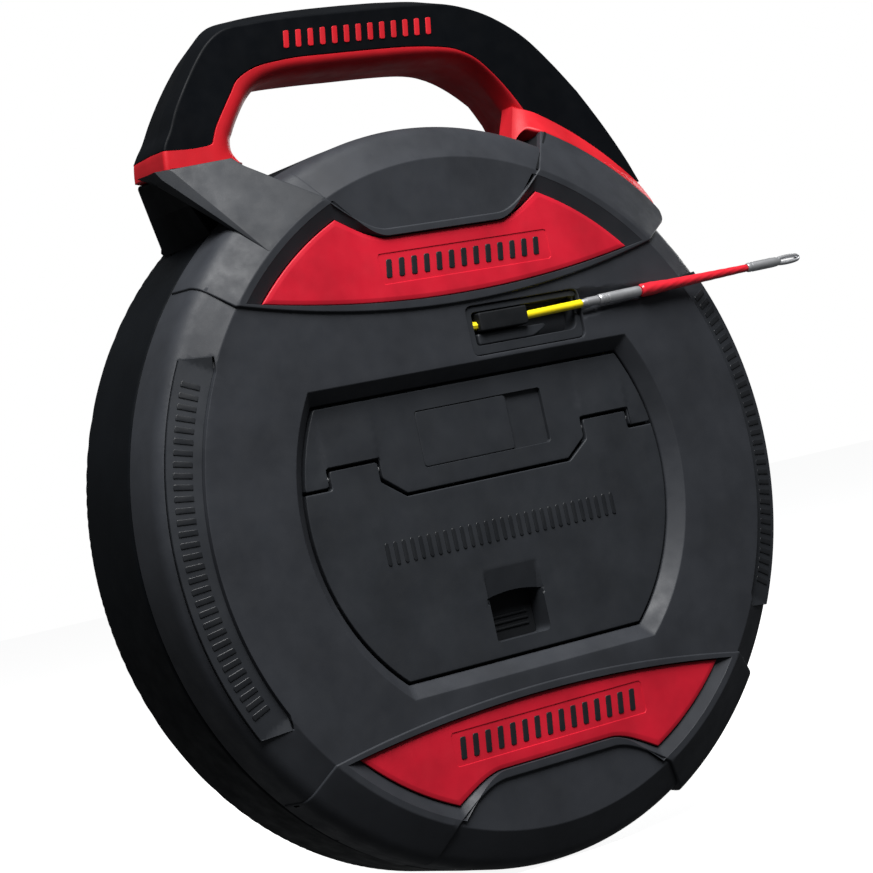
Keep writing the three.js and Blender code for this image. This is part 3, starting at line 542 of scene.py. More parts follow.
SHELL = moulded("shell_plastic", (0.0285, 0.0310, 0.0365), 0.52, Specular_IOR_Level=0.26)
PANEL = moulded("panel_plastic", (0.0235, 0.0260, 0.0305), 0.52, Specular_IOR_Level=0.26)
BLACK = moulded("black_plastic", (0.0042, 0.0051, 0.0064), 0.50, grain=3000.0, worn=1.2,
                Specular_IOR_Level=0.10)
HANDLE = moulded("handle_plastic", (0.0028, 0.0035, 0.0047), 0.50, grain=3000.0, worn=1.2,
                 Specular_IOR_Level=0.08)
# DARK also colours the painted shadow piece at the cone's upper end.
DARK = moulded("recess_plastic", (0.0070, 0.0080, 0.0095), 0.62, worn=1.3, Specular_IOR_Level=0.20)
RED_PLATE = moulded("red_plastic", (0.5600, 0.0120, 0.0290), 0.46, depth=0.00003, worn=1.05,
                    Specular_IOR_Level=0.25)
RED_SOFT = moulded("soft_red", (0.5500, 0.0125, 0.0210), 0.50, grain=1900.0, worn=1.05,
                   Specular_IOR_Level=0.25)
MARK = moulded("mark_inlay", (0.0130, 0.0145, 0.0170), 0.38, depth=0.00002, worn=1.3,
               Specular_IOR_Level=0.4)
YELLOW = moulded("coated_glass_fibre", (0.8800, 0.7000, 0.0080), 0.32, grain=900.0, depth=0.00004, worn=1.0,
                 spread=0.06, Coat_Weight=0.25, Coat_Roughness=0.25)
LEADER = moulded("leader_coating", (0.6400, 0.0160, 0.0300), 0.30, grain=1500.0, worn=1.05, spread=0.05,
                 Coat_Weight=0.3, Coat_Roughness=0.2)
STEEL = metal("steel", (0.70, 0.71, 0.73), 0.34, 0)
DULL_STEEL = metal("dull_steel", (0.34, 0.35, 0.37), 0.36, 1)
BRONZE = metal("bronze", (0.52, 0.35, 0.16), 0.34, 1)
CAGE = moulded("cage_plastic", (0.0400, 0.0430, 0.0460), 0.55)

# ------------------------------------------------------------------ rod end and its fittings
ROD_RISE = 0.027                                 # how much the rod climbs for each step to the right
ROD_FROM = np.array([0.235, 0.9 * mm(1), 0.492])
ROD_LINE = np.array([1, -0.055, ROD_RISE]) / np.linalg.norm([1, -0.055, ROD_RISE])
ROD_SIDE = np.cross(ROD_LINE, [0, 0, 1]) / np.linalg.norm(np.cross(ROD_LINE, [0, 0, 1]))
ROD_UP = np.cross(ROD_SIDE, ROD_LINE)


def rod_point(along):
    """A point on the rod's line, in face radii. Distances along it are in millimetres."""
    return ROD_FROM + ROD_LINE * mm(along)


def over_rod(x):
    """Height above the axis of the rod's line, at x."""
    return ROD_FROM[2] + ROD_RISE * (x - ROD_FROM[0])


def on_rod(profile):
    """Loops about the rod's line from (distance along, radius) pairs in millimetres."""
    turns = np.linspace(0, 2 * math.pi, 32, endpoint=False)
    rim = np.outer(np.cos(turns), ROD_SIDE) + np.outer(np.sin(turns), ROD_UP)
    return [rod_point(along) + rim * mm(radius) for along, radius in profile]


def rod_pieces():
    """The rod end with the ferrule and the grooved swivel sleeve on it."""
    ferrule = Body().loft(on_rod([
        (28.2, 0.6), (28.3, 1.35), (28.8, 1.55), (30.5, 1.62), (30.7, 1.85), (36.2, 1.9), (36.7, 1.7),
        (36.7, 0.6),
    ])).piece("ferrule", STEEL, "rod_ferrule", slot="steel")
    groove = ((0, 2.25), (0.15, 2.05), (0.45, 2.05), (0.6, 2.25))
    grooves = [(37 + 1.4 * i + shift, radius) for i in (1, 2, 3) for shift, radius in groove]
    sleeve = Body().loft(on_rod([
        (37, 0.8), (37, 1.9), (37.5, 2.2), (38, 2.25), *grooves, (56, 2.25), (57.6, 2.2), (58.5, 2.0),
        (58.7, 1.8), (58.7, 0.8),
    ])).piece("swivel_sleeve_turned", STEEL, "swivel_sleeve", slot="steel")
    rod = Body().loft(on_rod([
        (-24, 0.8), (-24, 1.62), (-23.8, 1.7), *((along, 1.7) for along in range(-22, 28, 2)), (27.7, 1.7),
        (28, 1.6), (28, 0.8),
    ])).piece("rod_end_coated", YELLOW, "rod_end", slot="rod")
    path = [metres(rod_point(along))[0] for along in range(-24, 29, 2)]
    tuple(path[0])


def leader_piece(eye):
    """The flexible leader: a coated cable whose strands show faintly through the coating."""
    first, length, strands, twist = 59, 57.7, 6, 0.16
    turns = np.linspace(0, 2 * math.pi, 40, endpoint=False)
    loops = []
    for along in np.linspace(0, length, 233):
        radius = np.interp(along, [0, 0.8, 6, 14, length], [2.3, 2.8, 2.85, 2.35, 1.6])
        lay = radius - 0.035 * (1 + np.cos(strands * turns - twist * along * 2 * math.pi))
        rim = (np.cos(turns) * lay)[:, None] * ROD_SIDE + (np.sin(turns) * lay)[:, None] * ROD_UP
        loops.append(rod_point(first + along) + rim * mm(1))
    leader = Body().loft(loops).piece("leader_cable", LEADER, "flexible_leader", carrier="tip", slot="leader")
    path = [metres(rod_point(first + length * i / 20))[0] for i in range(21)]
    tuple(path[0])


def pulling_eye():
    """The eye: a turned shank whose end is drawn out into a long flattened loop of wire."""
    body = Body().loft(on_rod([
        (117, 0.6), (117, 1.75), (117.6, 1.95), (118.5, 2.05), (119, 1.9), (119.4, 1.9), (119.9, 2.1),
        (131, 2.15), (133.5, 2.0), (135.2, 1.5), (135.6, 0.6),
    ]))
    middle, reach, half, wire, flattened = 139.6, 6.0, 1.25, 0.9, 1.5
    centre = []
    for turn in np.linspace(0, 2 * math.pi, 64, endpoint=False):
        side = math.copysign(abs(math.sin(turn)) ** 0.55, math.sin(turn))
        centre.append((middle + reach * math.cos(turn), half * side))
    centre = np.array(centre)
    ahead = np.roll(centre, -1, axis=0) - np.roll(centre, 1, axis=0)
    ahead /= np.linalg.norm(ahead, axis=1)[:, None]
    turns = np.linspace(0, 2 * math.pi, 14, endpoint=False)
    loops = []
    for (along, off), (ahead_along, ahead_off) in zip(centre, ahead):
        rim = [rod_point(along + wire * math.cos(a) * ahead_off) + ROD_SIDE * mm(flattened * math.sin(a))
               + ROD_UP * mm(off - wire * math.cos(a) * ahead_along) for a in turns]
        loops.append(np.array(rim))
    body.rings(loops + loops[:1])
    return body.piece("pulling_eye_loop", STEEL, "pulling_eye", carrier="tip", slot="steel")


rod_pieces()
leader_piece(pulling_eye())

# ------------------------------------------------------------------ the case's two shells
FRONT = Turned([(0, 0), (1, 0), SHOULDER, (1.1125, FRONT_END)], [0, 0.012, 0.07, 0])
BAY = {"r": 0.7, "top": 0.381, "bottom": -0.536, "bevel": 0.04}
PORT = {"x0": 0.012, "x1": 0.44, "z0": 0.395, "z1": 0.547}
PAD_INNER, PAD_BASE = 0.9935, 1.012              # radii of the side pads' inner edge and of its end's base
PAD_NEAR, PAD_SLANT, PAD_FAR = 29.4, 31.6, 29.6  # angles of an end's inner corner, base and outer corner
PAD_SUNK = 0.0185                                # how far the case is hollowed under a side pad
HOLLOW = [(-0.0025, 0.0), (0.0, 0.0012), (0.0012, PAD_SUNK)]    # (inset, depth) of the hollow's wall
PLATE_SUNK = 0.012                               # how far the red plates lie behind the case's face


def bay(inward):
    """The bay's outline: two arcs about the axis, cut off by a straight top and bottom."""
    r, top, bottom = BAY["r"] - inward, BAY["top"] - inward, BAY["bottom"] + inward
    high, low = (math.degrees(math.asin(level / r)) for level in (top, bottom))
    right_side, left_side = arc(r, low, high), arc(r, 180 - high, 180 - low)
    top_run, bottom_run = [right_side[-1], left_side[0]], [left_side[-1], right_side[0]]
    return matched([right_side, top_run, left_side, bottom_run], [76, 60, 76, 60])


def groove_relief(points):
    """The shallow trough under the rod, which runs out towards the right."""
    x, z = points[:, 0], points[:, 1]
    reach = np.clip((0.76 - x) / 0.34, 0, 1)
    half = 0.018 + 0.030 * reach
    across = np.clip(1 - ((z - over_rod(x)) / half) ** 2, 0, 1)
    return np.where(x > 0.4, -0.030 * reach**0.8 * across, 0.0)


def pad_corners(outer):
    """Inner corner, base and outer corner of a side pad's upper end."""
    return polar(PAD_INNER, PAD_NEAR), polar(PAD_BASE, PAD_SLANT), polar(outer, PAD_FAR)


def pad_outline(side, outer):
    """A side pad's outline: two arcs joined by a short slanted base and a long edge at each end."""
    corner, base, far = pad_corners(outer)
    down = np.array([1, -1])
    runs = [arc(PAD_INNER, -PAD_NEAR, PAD_NEAR), [corner, base], [base, far], arc(outer, PAD_FAR, -PAD_FAR),
            [far * down, base * down], [base * down, corner * down]]
    return anticlockwise(outline(*runs, step=0.008) * [side, 1])


def pad_hollow(points, loop):
    """How far the case is sunk at points under a pad with this outline."""
    distances = np.sqrt(nearest(points, loop))
    signed = np.where(inside(points, loop), distances, -distances)
    return -np.interp(signed, *zip(*HOLLOW))


def case_creases(rim, pads):
    """Runs that the case's faces follow: round the hollows for the pads, and along the folds between."""
    edges = [inset(pad, inward) for pad in pads for inward, _ in HOLLOW]
    creases = [closed(edge) for edge in edges]
    for run in fold_runs(FRONT, rim * 0.999):
        creases += stretches(run, np.all([nearest(run, edge) > 0.005**2 for edge in edges], axis=0))
    return creases


def front_case():
    """The front shell, with the bay's sloping wall, the port and the openings behind the red plates."""
    rim = circle(FRONT.end, count=ROUND)
    pads = [pad_outline(side, 1.1075) for side in (-1, 1)]

    def relief(points):
        return groove_relief(points) + sum(pad_hollow(points, pad) for pad in pads)

    end_r, end_d = FRONT.line[-1]
    turned_in = [flat(end_d + deeper)(rim / FRONT.end * (end_r - inward))
                 for inward, deeper in ((WALL, 0.001), (0.009, 0.002), (0.002, 0.001))]
    bevel = BAY["bevel"]
    bay_walls = [(bay(inward), height) for inward, height in (
        (-0.0035, 0), (-0.001, -0.0006), (0.0015, -0.0028), (bevel - 0.003, 0.0025 - bevel),
        (bevel - 0.0005, -bevel - 0.0005), (bevel, -bevel - 0.004), (bevel, -bevel - 0.04),
        (bevel - 0.018, -bevel - 0.04), (-0.014, INSIDE))]
    port_walls = stepped(rectangle(PORT["x0"], PORT["x1"], PORT["z0"], PORT["z1"], 0.022), [
        (-0.004, 0), (-0.001, -0.0008), (0.0005, -0.004), (0.0005, -0.04), (-0.012, -0.04), (-0.014, INSIDE)])
    openings = [bay_walls, port_walls, plate_opening(UPPER), plate_opening(LOWER)]
    body = Body().rings(turned_in + [FRONT(rim)])
    body.cover(FRONT, [(rim, 0)], openings, relief=relief, spacing=0.024, creases=case_creases(rim, pads),
               fine=[((0.42, 0.42), (0.82, 0.6), 0.007)])
    body.area(FRONT, rim * (1 - WALL / FRONT.end), INSIDE, [walls[-1][0] for walls in openings], spacing=0.05)
    body.piece("front_case", SHELL, "front_shell", slot="shell")


SCREWS = [polar(1.045, a) for a in (25, 90, 155, 205, 270, 335)]
REAR = Turned([(0, 0), (RIM - mm(2.6), 0), (RIM, mm(2.6)), (RIM, BACK - SPLIT_D - mm(1.6))], 0.012)


def rear_wrap(points, height=0.0):
    """The rear shell's surface, which looks backwards."""
    placed = REAR(points, height)
    placed[:, 1] = BACK - placed[:, 1]
    return placed


def rear_relief(points):
    """Shallow steps moulded into the back: a wide ring and a raised middle."""
    r = np.hypot(points[:, 0], points[:, 1])
    ring = np.clip((r - 0.60) / 0.012, 0, 1) * np.clip((0.96 - r) / 0.012, 0, 1)
    ripple = np.where((r > 0.66) & (r < 0.90), 0.5 - 0.5 * np.cos((r - 0.66) / 0.04 * 2 * math.pi), 0)
    hub = np.clip((0.24 - r) / 0.012, 0, 1)
    return -0.012 * ring + 0.006 * ripple * ring - 0.006 * hub


def rear_case():
    """The rear shell, whose lip reaches up inside the front shell past the split."""
    rim = circle(REAR.end, count=ROUND)
    lip = [flat(SPLIT_D + deeper)(rim / REAR.end * (RIM - inward)) for inward, deeper in (
        (WALL + 0.014, 0.02), (WALL + 0.014, -0.03), (WALL + 0.004, -0.03), (WALL + 0.004, 0.003),
        (0.010, 0.0025), (0.0028, 0.0045), (0.0005, 0.0085))]
    screw_well = ((0.0335, 0), (0.031, -0.001), (0.0295, -0.003), (0.0288, -0.019))
    hub_well = ((0.0515, -0.006), (0.0495, -0.007), (0.0475, -0.009), (0.047, -0.018))
    wells = [[(circle(radius, place), height) for radius, height in screw_well] for place in SCREWS]
    wells.append([(circle(radius), height) for radius, height in hub_well])
    body = Body().rings(lip + [rear_wrap(rim)])
    body.cover(rear_wrap, [(rim, 0)], wells, relief=rear_relief, spacing=0.014)
    for well in wells:
        body.end(rear_wrap(*well[-1]))
    body.piece("rear_case", BLACK, "rear_shell", slot="black")


def screw_head(name, node, centre, radius, front):
    """A pan head with a six-lobed socket, seen from the back of the case."""
    turns = np.linspace(0, 2 * math.pi, 48, endpoint=False)
    lobes = 0.5 * radius * (1 + 0.14 * np.cos(6 * turns))
    socket = np.stack([lobes * np.cos(turns), lobes * np.sin(turns)], 1)
    loops = [flat(front - depth)(circle(radius * share, centre)) for share, depth in (
        (0.6, 0.012), (1.0, 0.012), (1.0, 0.004), (0.93, 0.0012), (0.7, 0.0), (0.62, 0.0))]
    loops += [flat(front - depth)(centre + socket * share)
              for share, depth in ((1.0, 0.0), (0.98, 0.0015), (0.94, 0.008))]
    Body().loft(loops).piece(name, DULL_STEEL, node, slot="steel")


rear_case()
for number, place in enumerate(SCREWS, 1):
    screw_head(f"case_screw_head_{number}", f"case_screw_{number}", place, mm(3.3), BACK - 0.006)
screw_head("axle_screw_head", "axle_screw", (0, 0), mm(5.9), BACK - 0.004)


# ------------------------------------------------------------------ frames and red plates
FLUSH_BAND = 0.006                               # how far a frame stands proud of the shoulder's edge
FOOT_BAND = 0.022                                # and at its right ends, which wrap the rim
CREASE = 1.003                                   # where the frames fold from the face to the shoulder
CONE_REACH = 0.169                               # how far the cone's edge lies outside the crease
CONE_DEEP, CONE_BACK = 0.098, 0.21               # depths of the cone's edge and back
CONE_TOP = 62.8                                  # angle of the cone's upper end at its outer edge
SEAM_POINTS = 40                                 # points along half a seam


def bowed(middle, bow, half_width):
    """The long bowed seam across the face, from the middle to the right."""
    x = np.linspace(0, half_width, SEAM_POINTS)
    return np.stack([x, middle + bow * x**2], 1)


def arch(level, flat_half, end_x, end_z):
    """The seam that leaves a flat middle stretch and climbs in an S to the rim."""
    t = np.linspace(0, 1, SEAM_POINTS)
    climb = t * t * (1.6 - 0.6 * t)
    curve = np.stack([flat_half + (end_x - flat_half) * t, level + (end_z - level) * climb], 1)
    return np.vstack([[(0, level)], curve])


def shouldered(band):
    """The surface of a frame that stands a little above the case's shoulder and rim."""
    return Turned([(0, -PROUD), (CREASE, -PROUD), (SHOULDER[0] + band, SHOULDER[1]),
                   (1.112 + band, FRONT_END)], [0, 0.012, 0.07, 0])


class Cone(Turned):
    """The upper frame's raised cone, which grows wider towards its lower end."""

    def grown(self, angle):
        """How much wider the cone is at an angle."""
        return 1 + 0.19 * np.clip((66 - np.degrees(angle)) / 24, 0, 1)

    def __call__(self, points, height=0.0):
        placed = super().__call__(points, height)
        r = np.hypot(placed[:, 0], placed[:, 2])
        extra = self.grown(np.arctan2(placed[:, 2], placed[:, 0])) - 1
        out = 1 + extra * np.maximum(r - CREASE, 0) / np.maximum(r, 1e-9)
        deeper = extra * np.interp(placed[:, 1], [0, CONE_DEEP, CONE_BACK], [0, CONE_DEEP, 0])
        return np.stack([placed[:, 0] * out, placed[:, 1] + deeper, placed[:, 2] * out], 1)

    def spread(self, points):
        points = np.atleast_2d(np.array(points, float))
        r = np.hypot(points[:, 0], points[:, 1])
        shrunk = CREASE + (r - CREASE) / self.grown(np.arctan2(points[:, 1], points[:, 0]))
        return super().spread(points * (np.where(r > CREASE, shrunk, r) / r)[:, None])


FLUSH = shouldered(FLUSH_BAND)
FOOT = shouldered(FOOT_BAND)
CONE = Cone([(0, -PROUD), (CREASE, -PROUD), (CREASE + CONE_REACH, CONE_DEEP), (1.178, CONE_BACK)], 0.012)


def sided(left, right):
    """A surface with one shape left of the axis and another right of it. They meet on the face."""
    def wrap(points, height=0.0):
        points = np.atleast_2d(points)
        height = np.broadcast_to(height, len(points))
        placed = left(points, height)
        rightward = points[:, 0] > 0
        placed[rightward] = right(points, height)[rightward]
        return placed
    return wrap


def frame_edge(loop):
    """A frame's outer edge: an undercut at the case, a wall and a rounded corner.

    The case lies lower under the frame's edge on the shoulder than on the face.
    """
    band = np.where(loop[:, 0] > 0, FOOT_BAND, FLUSH_BAND)
    past_face = np.clip((np.hypot(*loop.T) - 0.99) / 0.09, 0, 1)
    low = -(PROUD + 0.0004 + (band + 0.0026 - PROUD) * past_face)
    return stepped(loop, [(0.003, low), (0.0025, low * 0.85), (0, low * 0.8), *rounding(0, 0.005)])


UPPER = {"edge": 0.591, "bow": 0.13, "level": 0.786, "horn": 0.37, "rim": 0.934, "side": 1}
LOWER = {"edge": 0.611, "bow": 0.107, "level": 0.797, "horn": 0.375, "rim": 0.942, "side": -1}
WINDOW_RIM = 0.979                               # radius of the plates' openings on the side of the rim


def plate_outline(edge, bow, level, horn, rim, side, inward=0.0):
    """A red plate's outline: bowed edge, arcs at the rim, S-curves. side is -1 below the axis."""
    edge, rim = edge + inward, rim - inward
    a, b, c = bow**2, 1 + 2 * edge * bow, edge**2 - rim**2
    tip = math.sqrt((math.sqrt(b * b - 4 * a * c) - b) / (2 * a))
    long_edge = bowed(edge, bow, tip)
    start = math.degrees(math.atan2(long_edge[-1][1], tip))
    stop = math.degrees(math.acos((horn + inward * 0.4) / rim))
    end = arc(rim, start, stop)
    top = arch(level - inward, 0.2, *end[-1])[::-1]
    loop = matched([mirrored(long_edge), end, top, top[::-1] * [-1, 1], end[::-1] * [-1, 1]],
                   [120, 40, 40, 40, 40])
    return anticlockwise(loop * [1, side])


def window(plate):
    """The walls of the opening that holds a red plate, sloping on the side of the rim."""
    wide, floor = dict(plate, rim=WINDOW_RIM), -PROUD - PLATE_SUNK
    return [(plate_outline(**shape, inward=inward), height) for shape, inward, height in (
        (wide, -0.0038, 0), (wide, -0.0030, -0.001), (plate, -0.0022, floor + 0.001),
        (plate, -0.0020, floor - 0.002))]


def plate_opening(plate):
    """The walls of the opening in the case behind a frame's window."""
    loop = plate_outline(**dict(plate, rim=WINDOW_RIM), inward=-0.0055)
    return [(loop, 0), (loop, INSIDE)]


def frame_outline(inner, outer, right_end, left_end):
    """A frame's outline, spread flat, for a frame above the axis.

    inner and outer are the right halves of its seams on the face. An end is the run that joins
    them round the shoulder, from the inner seam to the outer one.
    """
    left_inner, left_outer = inner * [-1, 1], outer * [-1, 1]
    runs = [inner, [inner[-1], *right_end], [right_end[-1], outer[-1]], outer[::-1], left_outer,
            [left_outer[-1], left_end[-1]], left_end[::-1], [left_end[0], left_inner[-1]], left_inner[::-1]]
    return outline(*runs, step=0.009)


def frame_end(surface, low, high, side):
    """A plain end of a frame, whose seams run straight over the shoulder to the rim."""
    return arc(surface.end - 0.01, low, high) * [side, 1]


def frame_piece(name, node, loop, right_side, plate):
    """A frame from its outline. It is flush on the left, and has its own surface on the right."""
    edge = frame_edge(loop)
    creases = fold_runs(FLUSH, edge[-1][0], -1) + fold_runs(right_side, edge[-1][0], 1)
    body = Body().cover(sided(FLUSH, right_side), edge, [window(plate)], spacing=0.016, creases=creases)
    body.piece(name, SHELL, node, slot="shell")


def upper_frame():
    """The upper frame, whose right end is the raised cone."""
    corner = CONE.spread([(0.826, 0.682), (0.881, 0.704), (0.911, 0.716), (0.925, 0.727), (0.932, 0.745),
                          (0.931, 0.764)])
    right_end = np.vstack([corner, arc(CONE.end - 0.01, 40.3, CONE_TOP)])
    loop = frame_outline(bowed(0.562, 0.160, 0.765), arch(0.811, 0.2, 0.39, 0.92), right_end,
                         frame_end(FLUSH, 41.5, 66.2, -1))
    frame_piece("upper_frame_moulding", "upper_frame", loop, CONE, UPPER)


def lower_frame():
    """The lower frame, whose right end wraps the rim as a foot."""
    loop = frame_outline(bowed(0.585, 0.12, 0.76), arch(0.826, 0.2, 0.40, 0.916),
                         frame_end(FOOT, 41.4, 64.2, 1), frame_end(FLUSH, 42.1, 64.2, -1))
    frame_piece("lower_frame_moulding", "lower_frame", anticlockwise(loop * [1, -1]), FOOT, LOWER)


def red_plate(name, node, plate, label):
    """A red plate with a bevelled edge and a shallow rectangular field for a plain row of bars."""
    front = flat(depth_of(node) + PLATE_SUNK)
    edge = [(plate_outline(**plate, inward=inward), height) for inward, height in (
        (0.001, -0.010), (0, -0.006), (0.001, -0.0035), (0.003, -0.0022), (0.012, -0.0004), (0.015, 0))]
    field = stepped(label, [(0, 0), (0.0012, -0.0003), (0.0024, -0.0022)])
    body = Body().cover(front, edge, [field], bottom=0.05, spacing=0.03)
    body.area(front, *field[-1], spacing=0.03).piece(name, RED_PLATE, node, slot="red")


front_case()
upper_frame()
lower_frame()
red_plate("upper_red_plate", "upper_plate", UPPER, rectangle(-0.255, 0.375, 0.648, 0.742, 0.01))
red_plate("lower_red_plate", "lower_plate", LOWER, rectangle(-0.36, 0.36, -0.757, -0.655, 0.01))

# ------------------------------------------------------------------ side pads
PAD = Turned([(0, 0.0145), (0.997, 0.0145), (1.096, 0.0405), (1.14, 0.0520)], 0.004)


def bar(body, wrap, loop, lift):
    """A small raised bar with a rounded top, sunk a little into the surface under it."""
    walls = stepped(loop, [(0, -0.002), (0, lift - 0.0016), (0.0006, lift - 0.0005), (0.0016, lift)])
    body.walls(wrap, walls).end(wrap(*walls[-1]))


def side_pad(name, node, side):
    """A sunk pad whose ends climb to the shoulder over a three-cornered slope."""
    outer = 1.0985
    loop = inset(pad_outline(side, outer), 0.0012)
    corner, base, far = pad_corners(outer)
    slope_line = np.array([corner * 0.995 + far * 0.005, far * 0.94 + corner * 0.06])
    creases = [resampled(slope_line * [side, end], 0.008) for end in (-1, 1)]
    across = np.array([corner[1] - far[1], far[0] - corner[0]])

    def climb(points):
        """Height above the floor of the pad: nothing up to the line from corner to far end."""
        beyond = (np.abs(points) - far) @ across / ((base - far) @ across)
        return 0.0125 * np.clip(beyond, 0, 1)

    low = -np.interp(np.hypot(*loop.T), [0.99, 1.1], [0.0035, 0.022])
    top = inset(loop, 0.0012)
    body = Body().walls(PAD, [(inset(loop, 0.002), low), (loop, low * 0.6), (loop, climb(loop) - 0.0015),
                              (top, climb(top))])
    body.area(PAD, top, relief=climb, spacing=0.012, creases=[*creases, *fold_runs(PAD, top, side)])
    body.piece(name, PANEL, node, slot="panel")
    ribs, half = Body(), 0.45
    for angle in np.arange(-26.1, 26.2, 1.74):
        corners = np.array([polar(1.022, angle - half), polar(1.078, angle - half),
                            polar(1.078, angle + half), polar(1.022, angle + half)])
        bar(ribs, PAD, anticlockwise(looped(corners, 0.007) * [side, 1]), 0.0024)
    ribs.piece(name + "_ribs", MARK, slot="panel")


side_pad("side_pad_moulding_left", "side_pad_left", -1)
side_pad("side_pad_moulding_right", "side_pad_right", 1)

# ------------------------------------------------------------------ the wedge under the left leg
EAR = Turned([(0, -PROUD), (CREASE, -PROUD), (1.36, 0.170)], 0.004)


def wedge():
    """The frame's wedge: a slanted face that carries the shoulder up to the left leg's ring.

    Its outer edge is a wall that starts at nothing on the face and is deepest at the ring.
    """
    tip, top, shelf, heel = np.array([(-0.622, 0.797), (-0.783, 1.086), (-0.60, 1.090), (-0.575, 1.060)])
    crease = arc(1.004, 113.0, 127.95)
    runs = [[tip, top], [top, shelf], [shelf, heel], smooth([heel, (-0.487, 0.994), crease[0]]), crease]
    loop = EAR.spread(outline(*runs, step=0.010))
    flat_tip, flat_top = EAR.spread([tip, top])
    reach = np.linalg.norm(flat_top - flat_tip)
    along = (flat_top - flat_tip) / reach
    offset = loop - flat_tip
    near_wall = np.abs(offset[:, 0] * along[1] - offset[:, 1] * along[0]) < 0.004
    share = np.clip(offset @ along / reach, 0, 1)
    wall = np.where(near_wall, 0.004 + 0.066 * share, 0.045)
    bevel = np.where(near_wall, share, 0.0)
    skirt = inset(loop, -0.034 * bevel[:, None])
    rings = []
    for edge, inward, depth in (
            (skirt, 0.030, wall + 0.06), (skirt, 0.006, wall + 0.004), (skirt, 0.001, wall),
            (skirt, 0, wall - 0.002), (skirt, 0, 0.003 + 0.016 * bevel),
            (skirt, 0.001, 0.0015 + 0.016 * bevel), (loop, 0, 0.0015), (loop, 0.001, 0.0005),
            (loop, 0.003, 0)):
        placed = EAR(inset(edge, inward))
        placed[:, 1] += depth
        rings.append(placed)
    body = Body().rings(rings).area(EAR, inset(loop, 0.003), spacing=0.015).end(rings[0])
    # The wedge takes the darker panel grey, not the frame's shell grey: painted shade for the shadow that the
    # ring casts on it.
    body.piece("frame_wedge", PANEL, slot="shell")


wedge()

# ------------------------------------------------------------------ handle
FRONT_D = 0.18                                   # depth of the handle's front face
CREST_D = 0.28                                   # of the fold along its outer side
REAR_D = depth_of("handle_core", 1)              # and of its back
LINING_D = FRONT_D - 0.002                       # of the lining's front
SPLAY = 0.25                                     # how far the right leg's lining leans outwards at its back
RING_TOP = 1.131                                 # where the lining has swung out to the full ring
# One row per station, from the middle of the bar to a foot: inner edge, border of the lining,
# front outer corner, upper edge behind that corner, rear outer corner. Each is (x, z).
LEFT_LEG = [
    ((0, 1.333), (0, 1.376), (0, 1.500), (0, 1.541), (0, 1.534)),
    ((.15, 1.333), (.15, 1.376), (.15, 1.499), (.15, 1.539), (.15, 1.531)),
    ((.29, 1.329), (.27, 1.375), (.28, 1.497), (.29, 1.533), (.28, 1.523)),
    ((.355, 1.318), (.385, 1.364), (.392, 1.490), (.403, 1.522), (.376, 1.510)),
    ((.40, 1.300), (.44, 1.349), (.489, 1.480), (.488, 1.506), (.454, 1.490)),
    ((.435, 1.273), (.485, 1.325), (.555, 1.446), (.548, 1.462), (.514, 1.445)),
    ((.465, 1.240), (.514, 1.290), (.607, 1.396), (.594, 1.405), (.562, 1.397)),
    ((.495, 1.200), (.55, 1.245), (.660, 1.331), (.644, 1.338), (.613, 1.337)),
    ((.512, 1.172), (.585, 1.199), (.710, 1.261), (.693, 1.268), (.663, 1.269)),
    ((.520, 1.160), (.600, 1.172), (.742, 1.203), (.726, 1.209), (.701, 1.210)),
    ((.524, 1.138), (.610, 1.150), (.766, 1.168), (.750, 1.173), (.728, 1.176)),
    ((.521, 1.118), (.616, RING_TOP), (.777, 1.144), (.762, 1.150), (.742, 1.152)),
    ((.508, 1.100), (.620, 1.108), (.782, 1.114), (.768, 1.119), (.749, 1.121)),
    ((.490, 1.083), (.622, 1.086), (.785, 1.086), (.772, 1.090), (.752, 1.094)),
]
RIGHT_LEG = [
    ((0, 1.333), (0, 1.376), (0, 1.500), (0, 1.541), (0, 1.534)),
    ((.15, 1.333), (.15, 1.373), (.16, 1.501), (.15, 1.539), (.15, 1.531)),
    ((.27, 1.329), (.27, 1.362), (.30, 1.496), (.30, 1.528), (.29, 1.518)),
    ((.345, 1.315), (.333, 1.347), (.415, 1.470), (.41, 1.492), (.39, 1.480)),
    ((.392, 1.292), (.393, 1.314), (.511, 1.428), (.50, 1.441), (.47, 1.430)),
    ((.440, 1.245), (.448, 1.258), (.602, 1.365), (.587, 1.372), (.55, 1.362)),
    ((.478, 1.190), (.495, 1.197), (.688, 1.273), (.669, 1.278), (.63, 1.274)),
    ((.505, 1.135), (.534, 1.135), (.762, 1.180), (.742, 1.184), (.70, 1.180)),
]
RIGHT_FOOT = [((.515, 1.095), (.545, 1.095)), ((.512, 1.050), (.548, 1.055)), ((.49, .990), (.54, .995))]
# Stations of the fin that runs down behind the strip: front inner, front outer, rear inner, rear outer.
FIN = [
    ((.560, 1.122), (.800, 1.122), (.58, 1.07), (.738, 1.120)),
    ((.625, 1.088), (.838, 1.060), (.60, .990), (.768, 1.060)),
    ((.700, 1.041), (.875, .994), (.60, .912), (.797, .995)),
    ((.780, .982), (.906, .932), (.68, .850), (.828, .932)),
    ((.860, .912), (.925, .889), (.745, .79), (.852, .885)),
    ((.905, .868), (.936, .866), (.78, .755), (.865, .860)),
]


def section(corners, radii):
    """A cross-section of the handle: a closed run of points with rounded corners."""
    return filleted(corners, radii, steps=6)


def at_depth(point, depth):
    """The point (x, d, z) of a point (x, z) at a depth."""
    return np.array([point[0], depth, point[1]])


def stations(rows, spans=10):
    """Smoothly filled-in rows: one array of (x, z) pairs per station."""
    rows = np.array([[value for pair in row for value in pair] for row in rows], float)
    return smooth(rows, spans).reshape(-1, len(rows[0]) // 2, 2)


def bend(start, corner, stop, count):
    """Points of a quadratic curve that leaves and arrives along the sides of a corner."""
    t = np.linspace(0, 1, count)[:, None]
    return (1 - t) ** 2 * start + 2 * t * (1 - t) * corner + t**2 * stop


